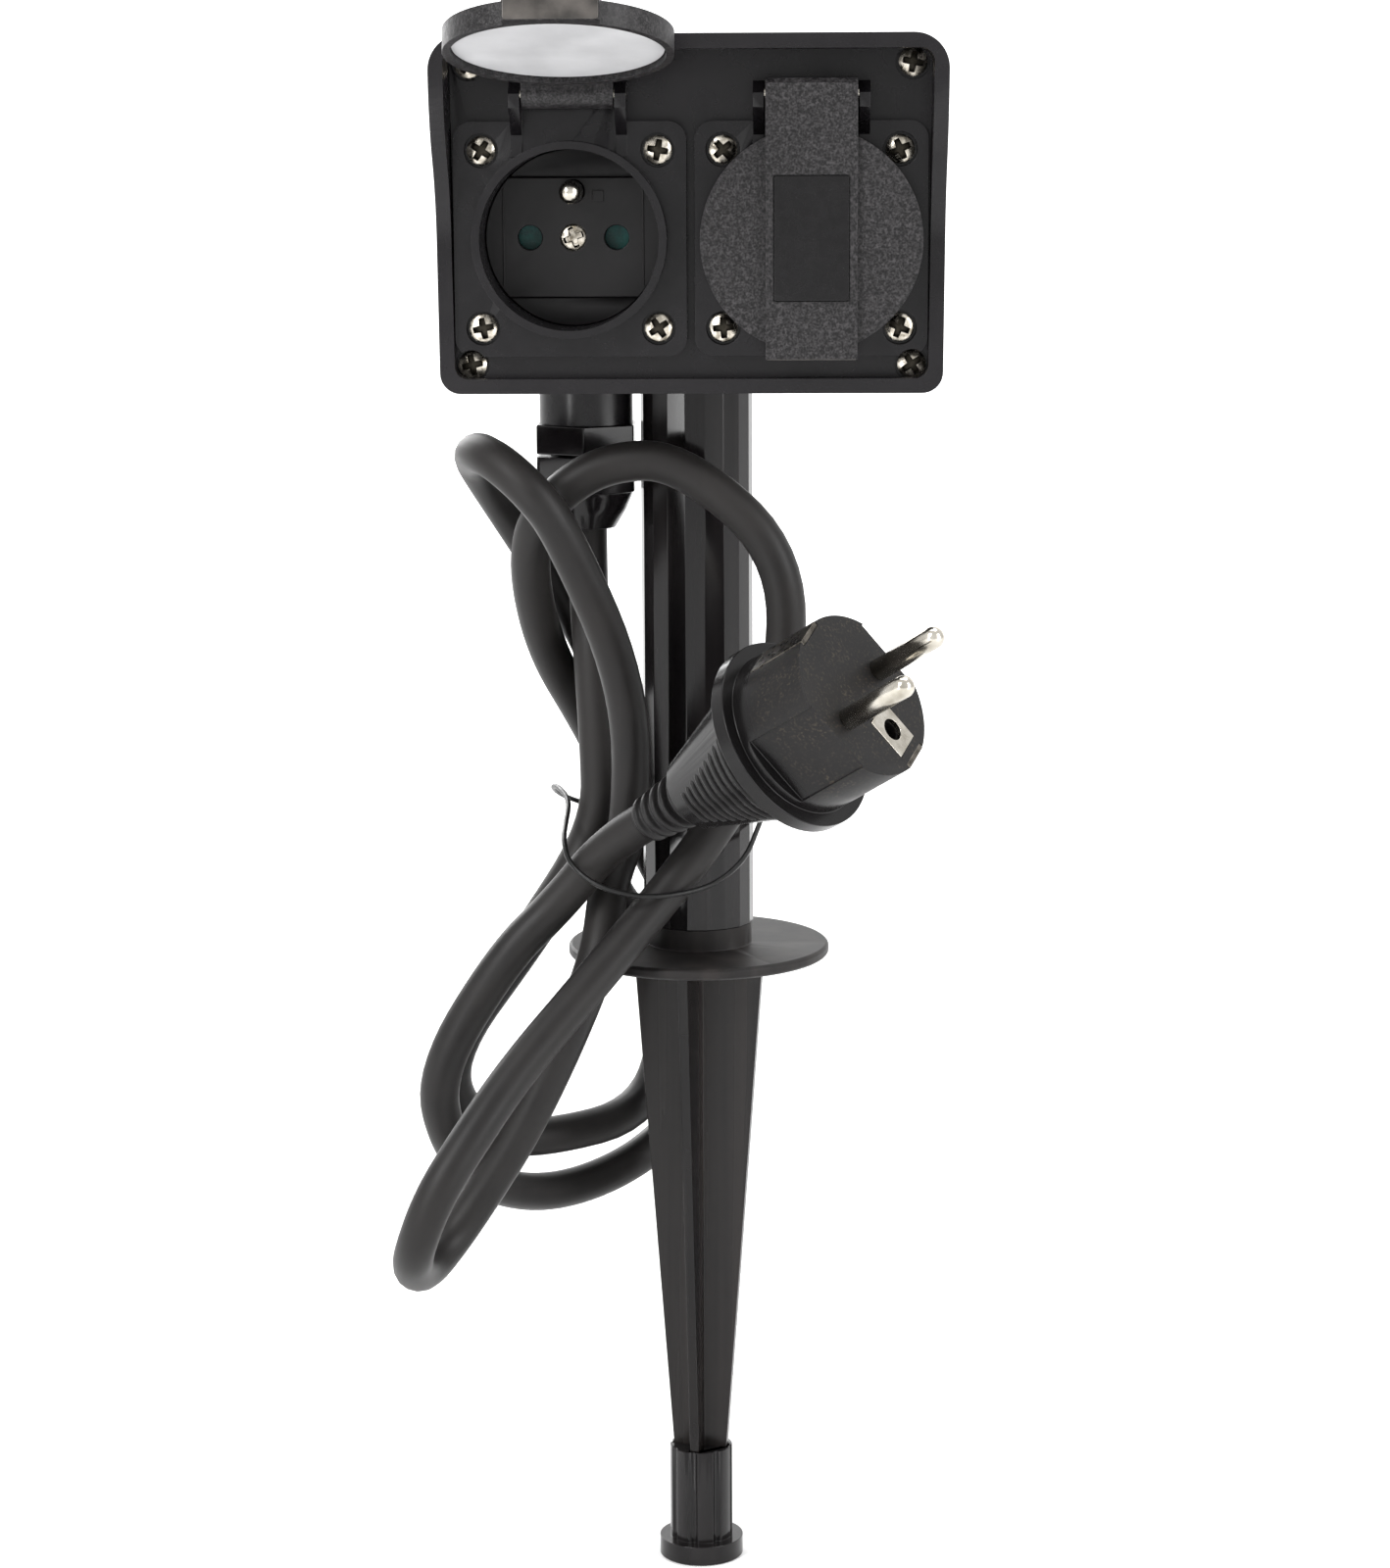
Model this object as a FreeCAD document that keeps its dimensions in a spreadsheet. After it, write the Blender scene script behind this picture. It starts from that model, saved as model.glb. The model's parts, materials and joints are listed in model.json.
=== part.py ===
import FreeCAD, Part
import math
import os
import Sketcher

# Garden socket: two sockets on each face of a hooded box, on a faceted post with a ground spike.
# Frame: +Z up, origin at the centre of the ground-stop disc's underside, front face towards -Y.
# Front pieces are drawn in place; rear ones are the same shapes turned half a turn about Z.

os.makedirs("parts", exist_ok=True)
doc = FreeCAD.newDocument("garden_socket")
sheet = doc.addObject("Spreadsheet::Sheet", "Sizes")
Vector = FreeCAD.Vector


class Size:
    """A number that also knows the spreadsheet formula behind it."""

    def __init__(self, value, formula):
        self.value = float(value)
        self.formula = formula

    def joined(self, sign, other, value):
        return Size(value, "(" + self.formula + " " + sign + " " + formula_of(other) + ")")

    def __float__(self):
        return self.value

    def __add__(self, other):
        return self.joined("+", other, self.value + float(other))

    def __sub__(self, other):
        return self.joined("-", other, self.value - float(other))

    def __mul__(self, other):
        return self.joined("*", other, self.value * float(other))

    def __truediv__(self, other):
        return self.joined("/", other, self.value / float(other))

    def __radd__(self, other):
        return Size(float(other), formula_of(other)) + self

    def __rsub__(self, other):
        return Size(float(other), formula_of(other)) - self

    def __rmul__(self, other):
        return Size(float(other), formula_of(other)) * self

    def __neg__(self):
        return Size(-self.value, "(0 - " + self.formula + ")")


def formula_of(number):
    """The text that stands for a number or a Size in a formula."""
    if isinstance(number, Size):
        return number.formula
    if number < 0:
        return "(0 - " + repr(-float(number)) + ")"
    return repr(float(number))


class Sizes:
    """The driving dimensions, one spreadsheet row each, in millimetres and degrees."""

    def __init__(self):
        self.row = 0

    def add(self, **values):
        for name, value in values.items():
            self.row += 1
            sheet.set("A%d" % self.row, name)
            sheet.set("B%d" % self.row, repr(float(value)))
            sheet.setAlias("B%d" % self.row, name)
            setattr(self, name, Size(float(value), "Sizes." + name))


dim = Sizes()

# Main sizes: the pitch of the two sockets, the reach of the hoods from the middle, the box's lower
# edge above the disc's underside, the spike's length below it, and the round parts
SOCKET_PITCH = 52.0
HOOD_FRONT = 50.0
BOX_BOTTOM = 132.7
SPIKE_LENGTH = 144.0
POST_DIAMETER = 25.0
DISC_DIAMETER = 60.4
CABLE_DIAMETER = 9.0
dim.add(socket_pitch=SOCKET_PITCH, hood_front=HOOD_FRONT, rim_bottom=BOX_BOTTOM, spike_length=SPIKE_LENGTH)
dim.add(post_diameter=POST_DIAMETER, disc_diameter=DISC_DIAMETER, cable_diameter=CABLE_DIAMETER)

# Box: two hooded covers on a housing
dim.add(rim_width=dim.socket_pitch * 2 + 6.2, rim_height=dim.socket_pitch + 24.5, rim_taper=1.4)
dim.add(rim_wall=3.2, rim_radius_top=7.5, rim_radius_bottom=4.5)
dim.add(lip_front=dim.hood_front - 11.0, hood_curve_height=34.0, hood_shoulder=2.0)
dim.add(panel_front=dim.hood_front - 16.0, panel_thickness=2.5)
dim.add(gasket_thickness=1.5, gasket_width=2.6)
dim.add(flange_step=3.3, flange_depth=12.0, body_step=6.0, body_wall=1.8)
dim.add(cavity_chamfer=5.0, corner_notch=4.2, floor_thickness=3.0)
dim.add(corner_pitch_across=dim.rim_width - 14.7, corner_pitch_up=dim.rim_height - 12.0)

# Sockets
dim.add(socket_height=dim.rim_bottom + dim.socket_pitch / 2 + 7.1)
dim.add(flange_size=dim.socket_pitch - 1.7, flange_radius=4.0, flange_proud=3.5)
dim.add(collar_inner=dim.socket_pitch - 13.4, collar_wall=1.7, collar_proud=5.0, recess_depth=17.0)
dim.add(face_thickness=4.0, segment_step=1.0, band_height=dim.collar_inner - 12.6)
dim.add(base_back=5.0, shutter_room=3.0, shutter_thickness=2.4, shutter_clearance=0.3)
dim.add(contact_pitch=19.0, contact_hole=5.3, contact_outer=6.2, contact_bore=5.0)
dim.add(contact_length=10.0, terminal_size=7.0, terminal_depth=2.6)
dim.add(earth_height=10.0, earth_diameter=4.8, earth_length=14.0)
dim.add(shutter_pad=6.8, shutter_arm=5.2, room_gap=0.75)
dim.add(screw_pitch=dim.socket_pitch - 14.0)
dim.add(fit_gap=0.1, slip_gap=0.3)

# Lids and their hinges; heights are above the socket's centre
dim.add(lid_diameter=dim.socket_pitch - 4.4, lid_plate=2.8, lid_skirt_wall=1.6, lid_skirt_gap=3.8)
dim.add(seal_thickness=0.8, seal_diameter=dim.lid_diameter - 3.8)
dim.add(hinge_up=dim.lid_diameter / 2 + 7.2, hinge_front=dim.hood_front - 8.5)
dim.add(hinge_pin=2.5, hinge_clearance=0.05)
dim.add(strap_width=19.6, strap_raise=1.2, strap_overhang=1.4, strap_lip=1.8)
dim.add(strap_top=dim.hinge_up + 3.0, strap_bevel=1.0)
dim.add(window_width=16.4, window_top=13.8, window_bottom=13.0, window_depth=0.5)
dim.add(ear_span=25.0, ear_thickness=2.4, ear_front=dim.hinge_front + 3.5)
dim.add(ear_bottom=dim.hinge_up - 13.4, ear_top=dim.hinge_up + 2.5)
dim.add(ear_step=0.5, ear_shoulder=dim.hinge_up - 8.8, ear_chin=dim.hinge_up - 3.0)
dim.add(knuckle_radius=3.2, knuckle_lead=2.0, neck_thickness=3.5, neck_bottom=dim.hinge_up - 10.0)
dim.add(lid_open_angle=105.0)

# Screws
dim.add(screw_head=6.2, screw_head_height=2.2, screw_shank=2.9, screw_length=9.0)
dim.add(cover_screw_length=12.0)
dim.add(counterbore=7.4, counterbore_depth=1.9, screw_hole_gap=0.15, head_taper=0.8)
dim.add(centre_head=5.5, centre_head_height=1.6, centre_length=11.0)

# Post, ground spike and its tip cap
dim.add(post_bore=dim.post_diameter - 5.0, post_web=4.0, post_sides=18.0)
dim.add(post_screw_length=13.0, post_screw_shank=4.0, post_screw_head=8.0, post_screw_head_height=2.5)
dim.add(post_boss=10.0)
dim.add(disc_thickness=2.7, disc_bevel=0.6, collar_diameter=dim.post_diameter - 0.4, collar_height=5.0)
dim.add(spigot_length=22.0, spigot_gap=0.15)
dim.add(vane_top=15.5, vane_tip=4.6, vane_thickness=2.2, spike_turn=13.0)
dim.add(cap_bottom=dim.spike_length + 3.0, cap_flange_diameter=19.8, cap_flange=4.5, cap_sleeve=14.8)
dim.add(cap_height=27.0, cap_flute=1.1, cap_flute_out=0.5, cap_lobes=8.0, cap_clearance=0.3)

# Gland
dim.add(gland_offset=dim.post_diameter, boss_diameter=21.2, boss_bottom=dim.rim_bottom - 9.5)
dim.add(boss_bore=16.0, gland_flats=22.0, gland_flange=6.6, gland_spigot=12.0)
dim.add(gland_neck=16.4, gland_neck_length=9.0, gland_ring_gap=0.6)
dim.add(nut_bottom=dim.rim_bottom - 33.2, nut_mouth=13.0, nut_lip=1.8, nut_shoulder=2.0, nut_edge=0.3)
dim.add(nut_grow=1.3, gland_bore=13.2, seal_ring_length=8.0)

# Cable and plug
dim.add(core_diameter=2.4, core_spread=2.8, core_length=12.0, cable_tail=7.0)
dim.add(plug_length=69.0, relief_length=16.0, relief_neck=10.5, relief_diameter=14.0, relief_rings=5.0)
dim.add(cone_start=17.0, cone_end=34.0, cone_top=42.5)
dim.add(grip_diameter=43.0, grip_bottom=45.0, grip_top=48.5, grip_bevel=2.0, head_diameter=37.0)
dim.add(guide_depth=2.7, guide_width=17.0)
dim.add(pin_diameter=4.8, pin_length=19.0, pin_pitch=19.0, pin_point=2.8)
dim.add(clip_width=8.0, clip_thickness=1.2, clip_length=16.0, clip_sink=1.5)
dim.add(plate_width=8.0, plate_height=10.0, plate_thickness=1.2, plate_hole=4.9, plate_offset=10.0)
dim.add(tie_diameter=1.2)
doc.recompute()

UP = (0, 0, 1)
DOWN = (0, 0, -1)
FORWARD = (0, -1, 0)
BACK = (0, 1, 0)
RIGHT = (1, 0, 0)
HALF_TURN = FreeCAD.Rotation(Vector(0, 0, 1), 180)
FLAT_TO_POST = FreeCAD.Rotation(Vector(0, 0, 1), 30)

nodes = {}


def bind(thing, name, size):
    """Give a property its number and tie it to the sheet when it comes from there."""
    if isinstance(size, Size):
        thing.setExpression(name, size.formula)
        size = size.value
    whole = name in ("Polygon", "Occurrences")
    setattr(thing, name, int(size) if whole else size)


def place(thing, x, y, z, axis=UP):
    """Put a primitive at a point, with its own Z along the axis."""
    turn = FreeCAD.Rotation(Vector(0, 0, 1), Vector(*axis))
    thing.Placement = FreeCAD.Placement(Vector(float(x), float(y), float(z)), turn)
    for letter, size in (("x", x), ("y", y), ("z", z)):
        if isinstance(size, Size):
            thing.setExpression("Placement.Base." + letter, size.formula)
    return thing


def cylinder(diameter, height, x, y, z, axis=UP):
    thing = doc.addObject("Part::Cylinder", "Cylinder")
    bind(thing, "Radius", diameter / 2)
    bind(thing, "Height", height)
    return place(thing, x, y, z, axis)


def cone(start, end, height, x, y, z, axis=UP):
    thing = doc.addObject("Part::Cone", "Cone")
    bind(thing, "Radius1", start / 2)
    bind(thing, "Radius2", end / 2)
    bind(thing, "Height", height)
    return place(thing, x, y, z, axis)


def box(x_from, x_to, y_from, y_to, z_from, z_to):
    thing = doc.addObject("Part::Box", "Box")
    bind(thing, "Length", x_to - x_from)
    bind(thing, "Width", y_to - y_from)
    bind(thing, "Height", z_to - z_from)
    return place(thing, x_from, y_from, z_from)


def prism(sides, flats, height, x, y, z, axis=UP):
    """A regular prism whose width across flats is given."""
    thing = doc.addObject("Part::Prism", "Prism")
    bind(thing, "Polygon", sides)
    bind(thing, "Circumradius", flats / 2 * (1 / math.cos(math.pi / float(sides))))
    bind(thing, "Height", height)
    return place(thing, x, y, z, axis)


def cut(base, *tools):
    thing = doc.addObject("Part::Cut", "Cut")
    thing.Base = base
    thing.Tool = tools[0] if len(tools) == 1 else fuse(*tools)
    return thing


def fuse(*parts):
    thing = doc.addObject("Part::MultiFuse", "Fuse")
    thing.Shapes = list(parts)
    return thing


def group(*parts):
    """Separate solids kept in one node, such as identical screws."""
    thing = doc.addObject("Part::Compound", "Group")
    thing.Links = list(parts)
    return thing


def keep(thing, label, rear=False, turn=None):
    """Name a finished sub-part and, for the rear face, turn it about the post."""
    thing.Label = label
    if rear:
        thing.Placement = FreeCAD.Placement(Vector(0, 0, 0), HALF_TURN)
    if turn is not None:
        thing.Placement = turn
    nodes[label] = thing
    return thing


def body(label):
    return doc.addObject("PartDesign::Body", label)


def sketch(owner, plane, offset=0):
    """A sketch on one of the body's origin planes, moved along the plane's normal."""
    thing = owner.newObject("Sketcher::SketchObject", "Sketch")
    origin_plane = [f for f in owner.Origin.OriginFeatures if f.Role == plane + "_Plane"][0]
    thing.AttachmentSupport = [(origin_plane, "")]
    thing.MapMode = "FlatFace"
    thing.AttachmentOffset = FreeCAD.Placement(Vector(0, 0, float(offset)), FreeCAD.Rotation())
    if isinstance(offset, Size):
        thing.setExpression("AttachmentOffset.Base.z", offset.formula)
    return thing


def fix(thing, kind, *where_and_size):
    """One constraint, tied to the sheet when its datum comes from there."""
    size = where_and_size[-1]
    index = thing.addConstraint(Sketcher.Constraint(kind, *where_and_size[:-1], float(size)))
    if isinstance(size, Size):
        thing.setExpression("Constraints[%d]" % index, size.formula)


def outline(thing, points, arcs=()):
    """A closed outline through the points; arcs lists (index, centre) for sides that are arcs."""
    first = thing.GeometryCount
    centres = dict(arcs)
    count = len(points)
    spots = [Vector(float(x), float(y), 0) for x, y in points]
    for i in range(count):
        end = spots[(i + 1) % count]
        if i in centres:
            centre = Vector(float(centres[i][0]), float(centres[i][1]), 0)
            outwards = ((spots[i] + end) * 0.5 - centre).normalize()
            middle = centre + outwards * centre.distanceToPoint(spots[i])
            thing.addGeometry(Part.Arc(spots[i], middle, end))
        else:
            thing.addGeometry(Part.LineSegment(spots[i], end))
    for i in range(count):
        here = first + i
        after = first + (i + 1) % count
        here_end = arc_end(thing, here, spots[(i + 1) % count])
        after_start = arc_end(thing, after, spots[(i + 1) % count])
        thing.addConstraint(Sketcher.Constraint("Coincident", here, here_end, after, after_start))
    for i in range(count):
        corner = arc_end(thing, first + i, spots[i])
        fix(thing, "DistanceX", first + i, corner, points[i][0])
        fix(thing, "DistanceY", first + i, corner, points[i][1])
    for i, (x, y) in centres.items():
        chord = spots[(i + 1) % count] - spots[i]
        if abs(chord.x) > abs(chord.y):
            fix(thing, "DistanceY", first + i, 3, y)
        else:
            fix(thing, "DistanceX", first + i, 3, x)


def arc_end(thing, index, spot):
    """Which end of an edge lies at the spot: 1 is its start and 2 its end."""
    edge = thing.Geometry[index]
    return 1 if edge.StartPoint.distanceToPoint(spot) < edge.EndPoint.distanceToPoint(spot) else 2


def circle(thing, x, y, diameter):
    centre = Vector(float(x), float(y), 0)
    index = thing.addGeometry(Part.Circle(centre, Vector(0, 0, 1), float(diameter) / 2))
    fix(thing, "DistanceX", index, 3, x)
    fix(thing, "DistanceY", index, 3, y)
    fix(thing, "Diameter", index, diameter)


def feature(owner, kind, profile, length=None, reverse=False, both=False):
    """A Pad or Pocket of a sketch; reverse turns it round and both centres it on the sketch."""
    thing = owner.newObject("PartDesign::" + kind, kind)
    thing.Profile = profile
    if length is not None:
        bind(thing, "Length", length)
    thing.Reversed = reverse
    thing.Midplane = both
    owner.Tip = thing
    profile.Visibility = False
    return thing


def turned(owner, profile, kind="Revolution"):
    """A full turn of a sketch about its own vertical axis."""
    thing = owner.newObject("PartDesign::" + kind, kind)
    thing.Profile = profile
    thing.ReferenceAxis = (profile, ["V_Axis"])
    thing.Angle = 360
    owner.Tip = thing
    return thing


def rounded(owner, base, radius, test, kind="Fillet"):
    """Fillet or chamfer the edges of the last feature that pass the test."""
    doc.recompute()
    names = ["Edge%d" % (i + 1) for i, edge in enumerate(base.Shape.Edges) if test(edge)]
    thing = owner.newObject("PartDesign::" + kind, kind)
    thing.Base = (base, names)
    bind(thing, "Radius" if kind == "Fillet" else "Size", radius)
    owner.Tip = thing
    return thing


def runs_along(edge, axis):
    """True for a straight edge in the direction of the axis."""
    if edge.Curve.TypeId != "Part::GeomLine":
        return False
    return abs(edge.tangentAt(edge.FirstParameter).dot(Vector(*axis))) > 0.999


def rectangle(x_from, x_to, z_from, z_to):
    return [(x_from, z_from), (x_to, z_from), (x_to, z_to), (x_from, z_to)]


# Places that several pieces share
rim_centre = dim.rim_bottom + dim.rim_height / 2
rim_top = dim.rim_bottom + dim.rim_height
panel_back = dim.panel_front - dim.panel_thickness
housing_end = panel_back - dim.gasket_thickness
flange_half_width = dim.rim_width / 2 - dim.flange_step
flange_half_height = dim.rim_height / 2 - dim.flange_step
body_half_width = dim.rim_width / 2 - dim.body_step
body_half_height = dim.rim_height / 2 - dim.body_step
cavity_half_width = body_half_width - dim.body_wall
cavity_half_height = body_half_height - dim.floor_thickness
body_bottom = rim_centre - body_half_height
floor_top = body_bottom + dim.floor_thickness
flange_front = dim.panel_front + dim.flange_proud
collar_front = flange_front + dim.collar_proud
face_front = collar_front - dim.recess_depth
face_back = face_front - dim.face_thickness
shutter_floor = face_back - dim.shutter_room
collar_outer = dim.collar_inner + dim.collar_wall * 2
insert_diameter = dim.collar_inner - dim.fit_gap * 2
lid_inside = collar_front + dim.fit_gap + dim.seal_thickness
lid_front = lid_inside + dim.lid_plate
strap_front = lid_front + dim.strap_raise
post_bottom = dim.disc_thickness + dim.collar_height
screw_hole = dim.screw_shank + dim.screw_hole_gap * 2


def cavity_points():
    """The housing's inside, an oblong with cut corners that leave room for the screws."""
    half, high, corner = cavity_half_width, cavity_half_height, dim.cavity_chamfer
    low, top = rim_centre - high, rim_centre + high
    return [(-half, low + corner), (-half + corner, low), (half - corner, low), (half, low + corner),
            (half, top - corner), (half - corner, top), (-half + corner, top), (-half, top - corner)]


def corner_spots():
    """The four cover screws of one face."""
    across, up = dim.corner_pitch_across / 2, dim.corner_pitch_up / 2
    return [(sx * across, rim_centre + sz * up) for sx in (-1, 1) for sz in (-1, 1)]


def flange_spots(side):
    """The four screws of one socket; side is -1 for the left one and 1 for the right one."""
    centre = side * (dim.socket_pitch / 2)
    half = dim.screw_pitch / 2
    return [(centre + sx * half, dim.socket_height + sz * half) for sx in (-1, 1) for sz in (-1, 1)]


def make_housing():
    """Middle body with an end flange to each side, open to both faces, and the cable boss below."""
    owner = body("housing_body")
    flanges = sketch(owner, "XZ", -housing_end)
    outline(flanges, rectangle(-flange_half_width, flange_half_width,
                               rim_centre - flange_half_height, rim_centre + flange_half_height))
    block = feature(owner, "Pad", flanges, housing_end * 2)
    block = rounded(owner, block, dim.rim_radius_bottom, lambda e: runs_along(e, FORWARD))
    waist = sketch(owner, "XZ", 0)
    outline(waist, rectangle(-flange_half_width - 1, flange_half_width + 1,
                             rim_centre - flange_half_height - 1, rim_centre + flange_half_height + 1))
    notch = dim.corner_notch
    half, low, top = body_half_width, rim_centre - body_half_height, rim_centre + body_half_height
    outline(waist, [(-half + notch, low), (half - notch, low), (half - notch, low + notch / 2),
                    (half, low + notch), (half, top - notch), (half - notch, top - notch / 2),
                    (half - notch, top), (-half + notch, top), (-half + notch, top - notch / 2),
                    (-half, top - notch), (-half, low + notch), (-half + notch, low + notch / 2)])
    feature(owner, "Pocket", waist, (housing_end - dim.flange_depth) * 2, both=True)
    inside = sketch(owner, "XZ", -housing_end)
    outline(inside, cavity_points())
    feature(owner, "Pocket", inside, housing_end * 2, reverse=True)
    boss = sketch(owner, "XY", dim.boss_bottom)
    circle(boss, -dim.gland_offset, 0, dim.boss_diameter)
    feature(owner, "Pad", boss, body_bottom + dim.floor_thickness / 2 - dim.boss_bottom)
    holes = sketch(owner, "XY", floor_top + 1)
    circle(holes, -dim.gland_offset, 0, dim.boss_bore)
    feature(owner, "Pocket", holes, floor_top + 2 - dim.boss_bottom)
    screw = sketch(owner, "XY", floor_top + 1)
    circle(screw, 0, 0, dim.post_screw_shank + dim.fit_gap * 2)
    feature(owner, "Pocket", screw, dim.floor_thickness + 2)
    for end, reverse in ((housing_end, False), (-housing_end, True)):
        pilots = sketch(owner, "XZ", end)
        for x, z in corner_spots():
            circle(pilots, x, z, screw_hole)
        feature(owner, "Pocket", pilots, dim.cover_screw_length, reverse=reverse)
    return keep(owner, "housing_body")


def rim_points(inset):
    """The cover's outline, a little wider at the top, moved inwards by the inset."""
    top_half = dim.rim_width / 2 - inset
    low_half = (dim.rim_width - dim.rim_taper) / 2 - inset
    return [(-low_half, dim.rim_bottom + inset), (low_half, dim.rim_bottom + inset),
            (top_half, rim_top - inset), (-top_half, rim_top - inset)]


def make_cover(label, rear):
    """Panel with a hood that stands far out at the top and dies away in a curve towards the bottom."""
    owner = body(label)
    profile = sketch(owner, "XZ", panel_back)
    outline(profile, rim_points(0))
    block = feature(owner, "Pad", profile, dim.hood_front - panel_back)
    upper = float(rim_centre)
    block = rounded(owner, block, dim.rim_radius_top,
                    lambda e: sideways(e) and e.CenterOfMass.z > upper)
    block = rounded(owner, block, dim.rim_radius_bottom,
                    lambda e: sideways(e) and e.CenterOfMass.z < upper)
    hollow = sketch(owner, "XZ", dim.hood_front)
    outline(hollow, rim_points(dim.rim_wall))
    block = feature(owner, "Pocket", hollow, dim.hood_front - dim.panel_front)
    block = rounded(owner, block, dim.rim_radius_bottom - dim.rim_wall / 2,
                    lambda e: sideways(e) and inner_corner(e))
    side = sketch(owner, "YZ", -dim.rim_width)
    hood, lip = -dim.hood_front, -dim.lip_front
    start = rim_top - dim.rim_radius_top - dim.hood_shoulder
    end = start - dim.hood_curve_height
    step, drop = (lip - hood) / 2, (start - end) / 2
    bend = (step * step + drop * drop) / (step * 2)
    outline(side, [(hood - 2, start), (hood, start), (hood + step, start - drop), (lip, end),
                   (lip, dim.rim_bottom - 2), (hood - 2, dim.rim_bottom - 2)],
            arcs=((1, (hood + bend, start)), (2, (lip - bend, end))))
    feature(owner, "Pocket", side, dim.rim_width * 2, reverse=True)
    windows = sketch(owner, "XZ", dim.panel_front)
    for sign in (-1, 1):
        circle(windows, sign * (dim.socket_pitch / 2), dim.socket_height, collar_outer + dim.fit_gap * 2)
        for x, z in flange_spots(sign):
            circle(windows, x, z, screw_hole)
    for x, z in corner_spots():
        circle(windows, x, z, screw_hole)
    feature(owner, "Pocket", windows, dim.panel_thickness + 1)
    sinks = sketch(owner, "XZ", dim.panel_front)
    for x, z in corner_spots():
        circle(sinks, x, z, dim.counterbore)
    feature(owner, "Pocket", sinks, dim.panel_thickness / 2)
    return keep(owner, label, rear)


def sideways(edge):
    """True for an edge that runs from front to back."""
    return runs_along(edge, FORWARD)


def inner_corner(edge):
    """True for the hollow's own corners, which lie inside the rim's wall."""
    wall = float(dim.rim_wall)
    half = float(dim.rim_width) / 2
    low, top = float(dim.rim_bottom), float(rim_top)
    centre = edge.CenterOfMass
    near_side = abs(abs(centre.x) - (half - wall)) < 1.5
    near_end = min(abs(centre.z - (low + wall)), abs(centre.z - (top - wall))) < 0.5
    return near_side and near_end


def make_gasket(label, rear):
    """A flat ring between the cover's back and the housing's end."""
    owner = body(label)
    ring = sketch(owner, "XZ", housing_end)
    grow = dim.gasket_width
    outline(ring, cavity_points())
    half, high, corner = cavity_half_width + grow, cavity_half_height + grow, dim.cavity_chamfer + grow
    low, top = rim_centre - high, rim_centre + high
    outline(ring, [(-half, low + corner), (-half + corner, low), (half - corner, low), (half, low + corner),
                   (half, top - corner), (half - corner, top), (-half + corner, top), (-half, top - corner)])
    feature(owner, "Pad", ring, dim.gasket_thickness)
    return keep(owner, label, rear)


def screw_solid(x, z, seat, length):
    """One pan-head screw, its head resting at the seat and pointing forward."""
    head = cone(dim.screw_head, dim.screw_head * dim.head_taper, dim.screw_head_height, x, -seat, z, FORWARD)
    stem = cylinder(dim.screw_shank, length, x, -seat, z, BACK)
    return fuse(head, stem)


def make_screws(name, rear):
    """The eight socket screws and the four cover screws of one face."""
    seat = flange_front - dim.counterbore_depth
    screws = [screw_solid(x, z, seat, dim.screw_length) for sign in (-1, 1) for x, z in flange_spots(sign)]
    keep(group(*screws), name + "_socket_screws", rear)
    seat = dim.panel_front - dim.panel_thickness / 2
    screws = [screw_solid(x, z, seat, dim.cover_screw_length) for x, z in corner_spots()]
    keep(group(*screws), name + "_cover_screws", rear)


def make_frame(label, side, rear):
    """Square flange, round collar in front, cup behind, and the two hinge ears on a tab.

    The flange's outer lower corner is notched round the cover's screw.
    """
    centre = side * (dim.socket_pitch / 2)
    level = dim.socket_height
    owner = body(label)
    plate = sketch(owner, "XZ", dim.panel_front)
    half = dim.flange_size / 2
    outline(plate, rectangle(centre - half, centre + half, level - half, level + half))
    block = feature(owner, "Pad", plate, dim.flange_proud)
    rounded(owner, block, dim.flange_radius, sideways)
    tab = sketch(owner, "XZ", dim.panel_front)
    reach = dim.ear_span / 2
    outline(tab, rectangle(centre - reach, centre + reach, level + dim.ear_bottom, level + dim.ear_top))
    feature(owner, "Pad", tab, dim.flange_proud)
    for sign in (-1, 1):
        ear = sketch(owner, "YZ", centre + sign * (reach - dim.ear_thickness / 2))
        front, nose = -dim.ear_front, -dim.hinge_front
        low, top = level + dim.ear_bottom, level + dim.ear_top
        outline(ear, [(-dim.panel_front, low), (-flange_front - dim.ear_step, low),
                      (-flange_front - dim.ear_step, level + dim.ear_shoulder), (front, level + dim.ear_chin),
                      (front, level + dim.hinge_up), (nose, top), (-dim.panel_front, top)])
        circle(ear, nose, level + dim.hinge_up, dim.hinge_pin)
        feature(owner, "Pad", ear, dim.ear_thickness, both=True)
    collar = sketch(owner, "XZ", flange_front - 1)
    circle(collar, centre, level, collar_outer)
    feature(owner, "Pad", collar, dim.collar_proud + 1)
    cup = sketch(owner, "XZ", dim.panel_front + 1)
    circle(cup, centre, level, collar_outer)
    feature(owner, "Pad", cup, dim.panel_front + 1 - shutter_floor, reverse=True)
    bore = sketch(owner, "XZ", collar_front + 1)
    circle(bore, centre, level, dim.collar_inner)
    feature(owner, "Pocket", bore, collar_front + 2 - shutter_floor)
    holes = sketch(owner, "XZ", flange_front)
    for x, z in flange_spots(side):
        circle(holes, x, z, screw_hole)
    feature(owner, "Pocket", holes, dim.flange_proud + 1)
    sinks = sketch(owner, "XZ", flange_front)
    for x, z in flange_spots(side):
        circle(sinks, x, z, dim.counterbore)
    feature(owner, "Pocket", sinks, dim.counterbore_depth)
    notch = sketch(owner, "XZ", flange_front + 1)
    circle(notch, side * (dim.corner_pitch_across / 2), rim_centre - dim.corner_pitch_up / 2,
           dim.screw_head + dim.slip_gap * 2)
    feature(owner, "Pocket", notch, dim.flange_proud + 2)
    return keep(owner, label, rear)


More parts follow.
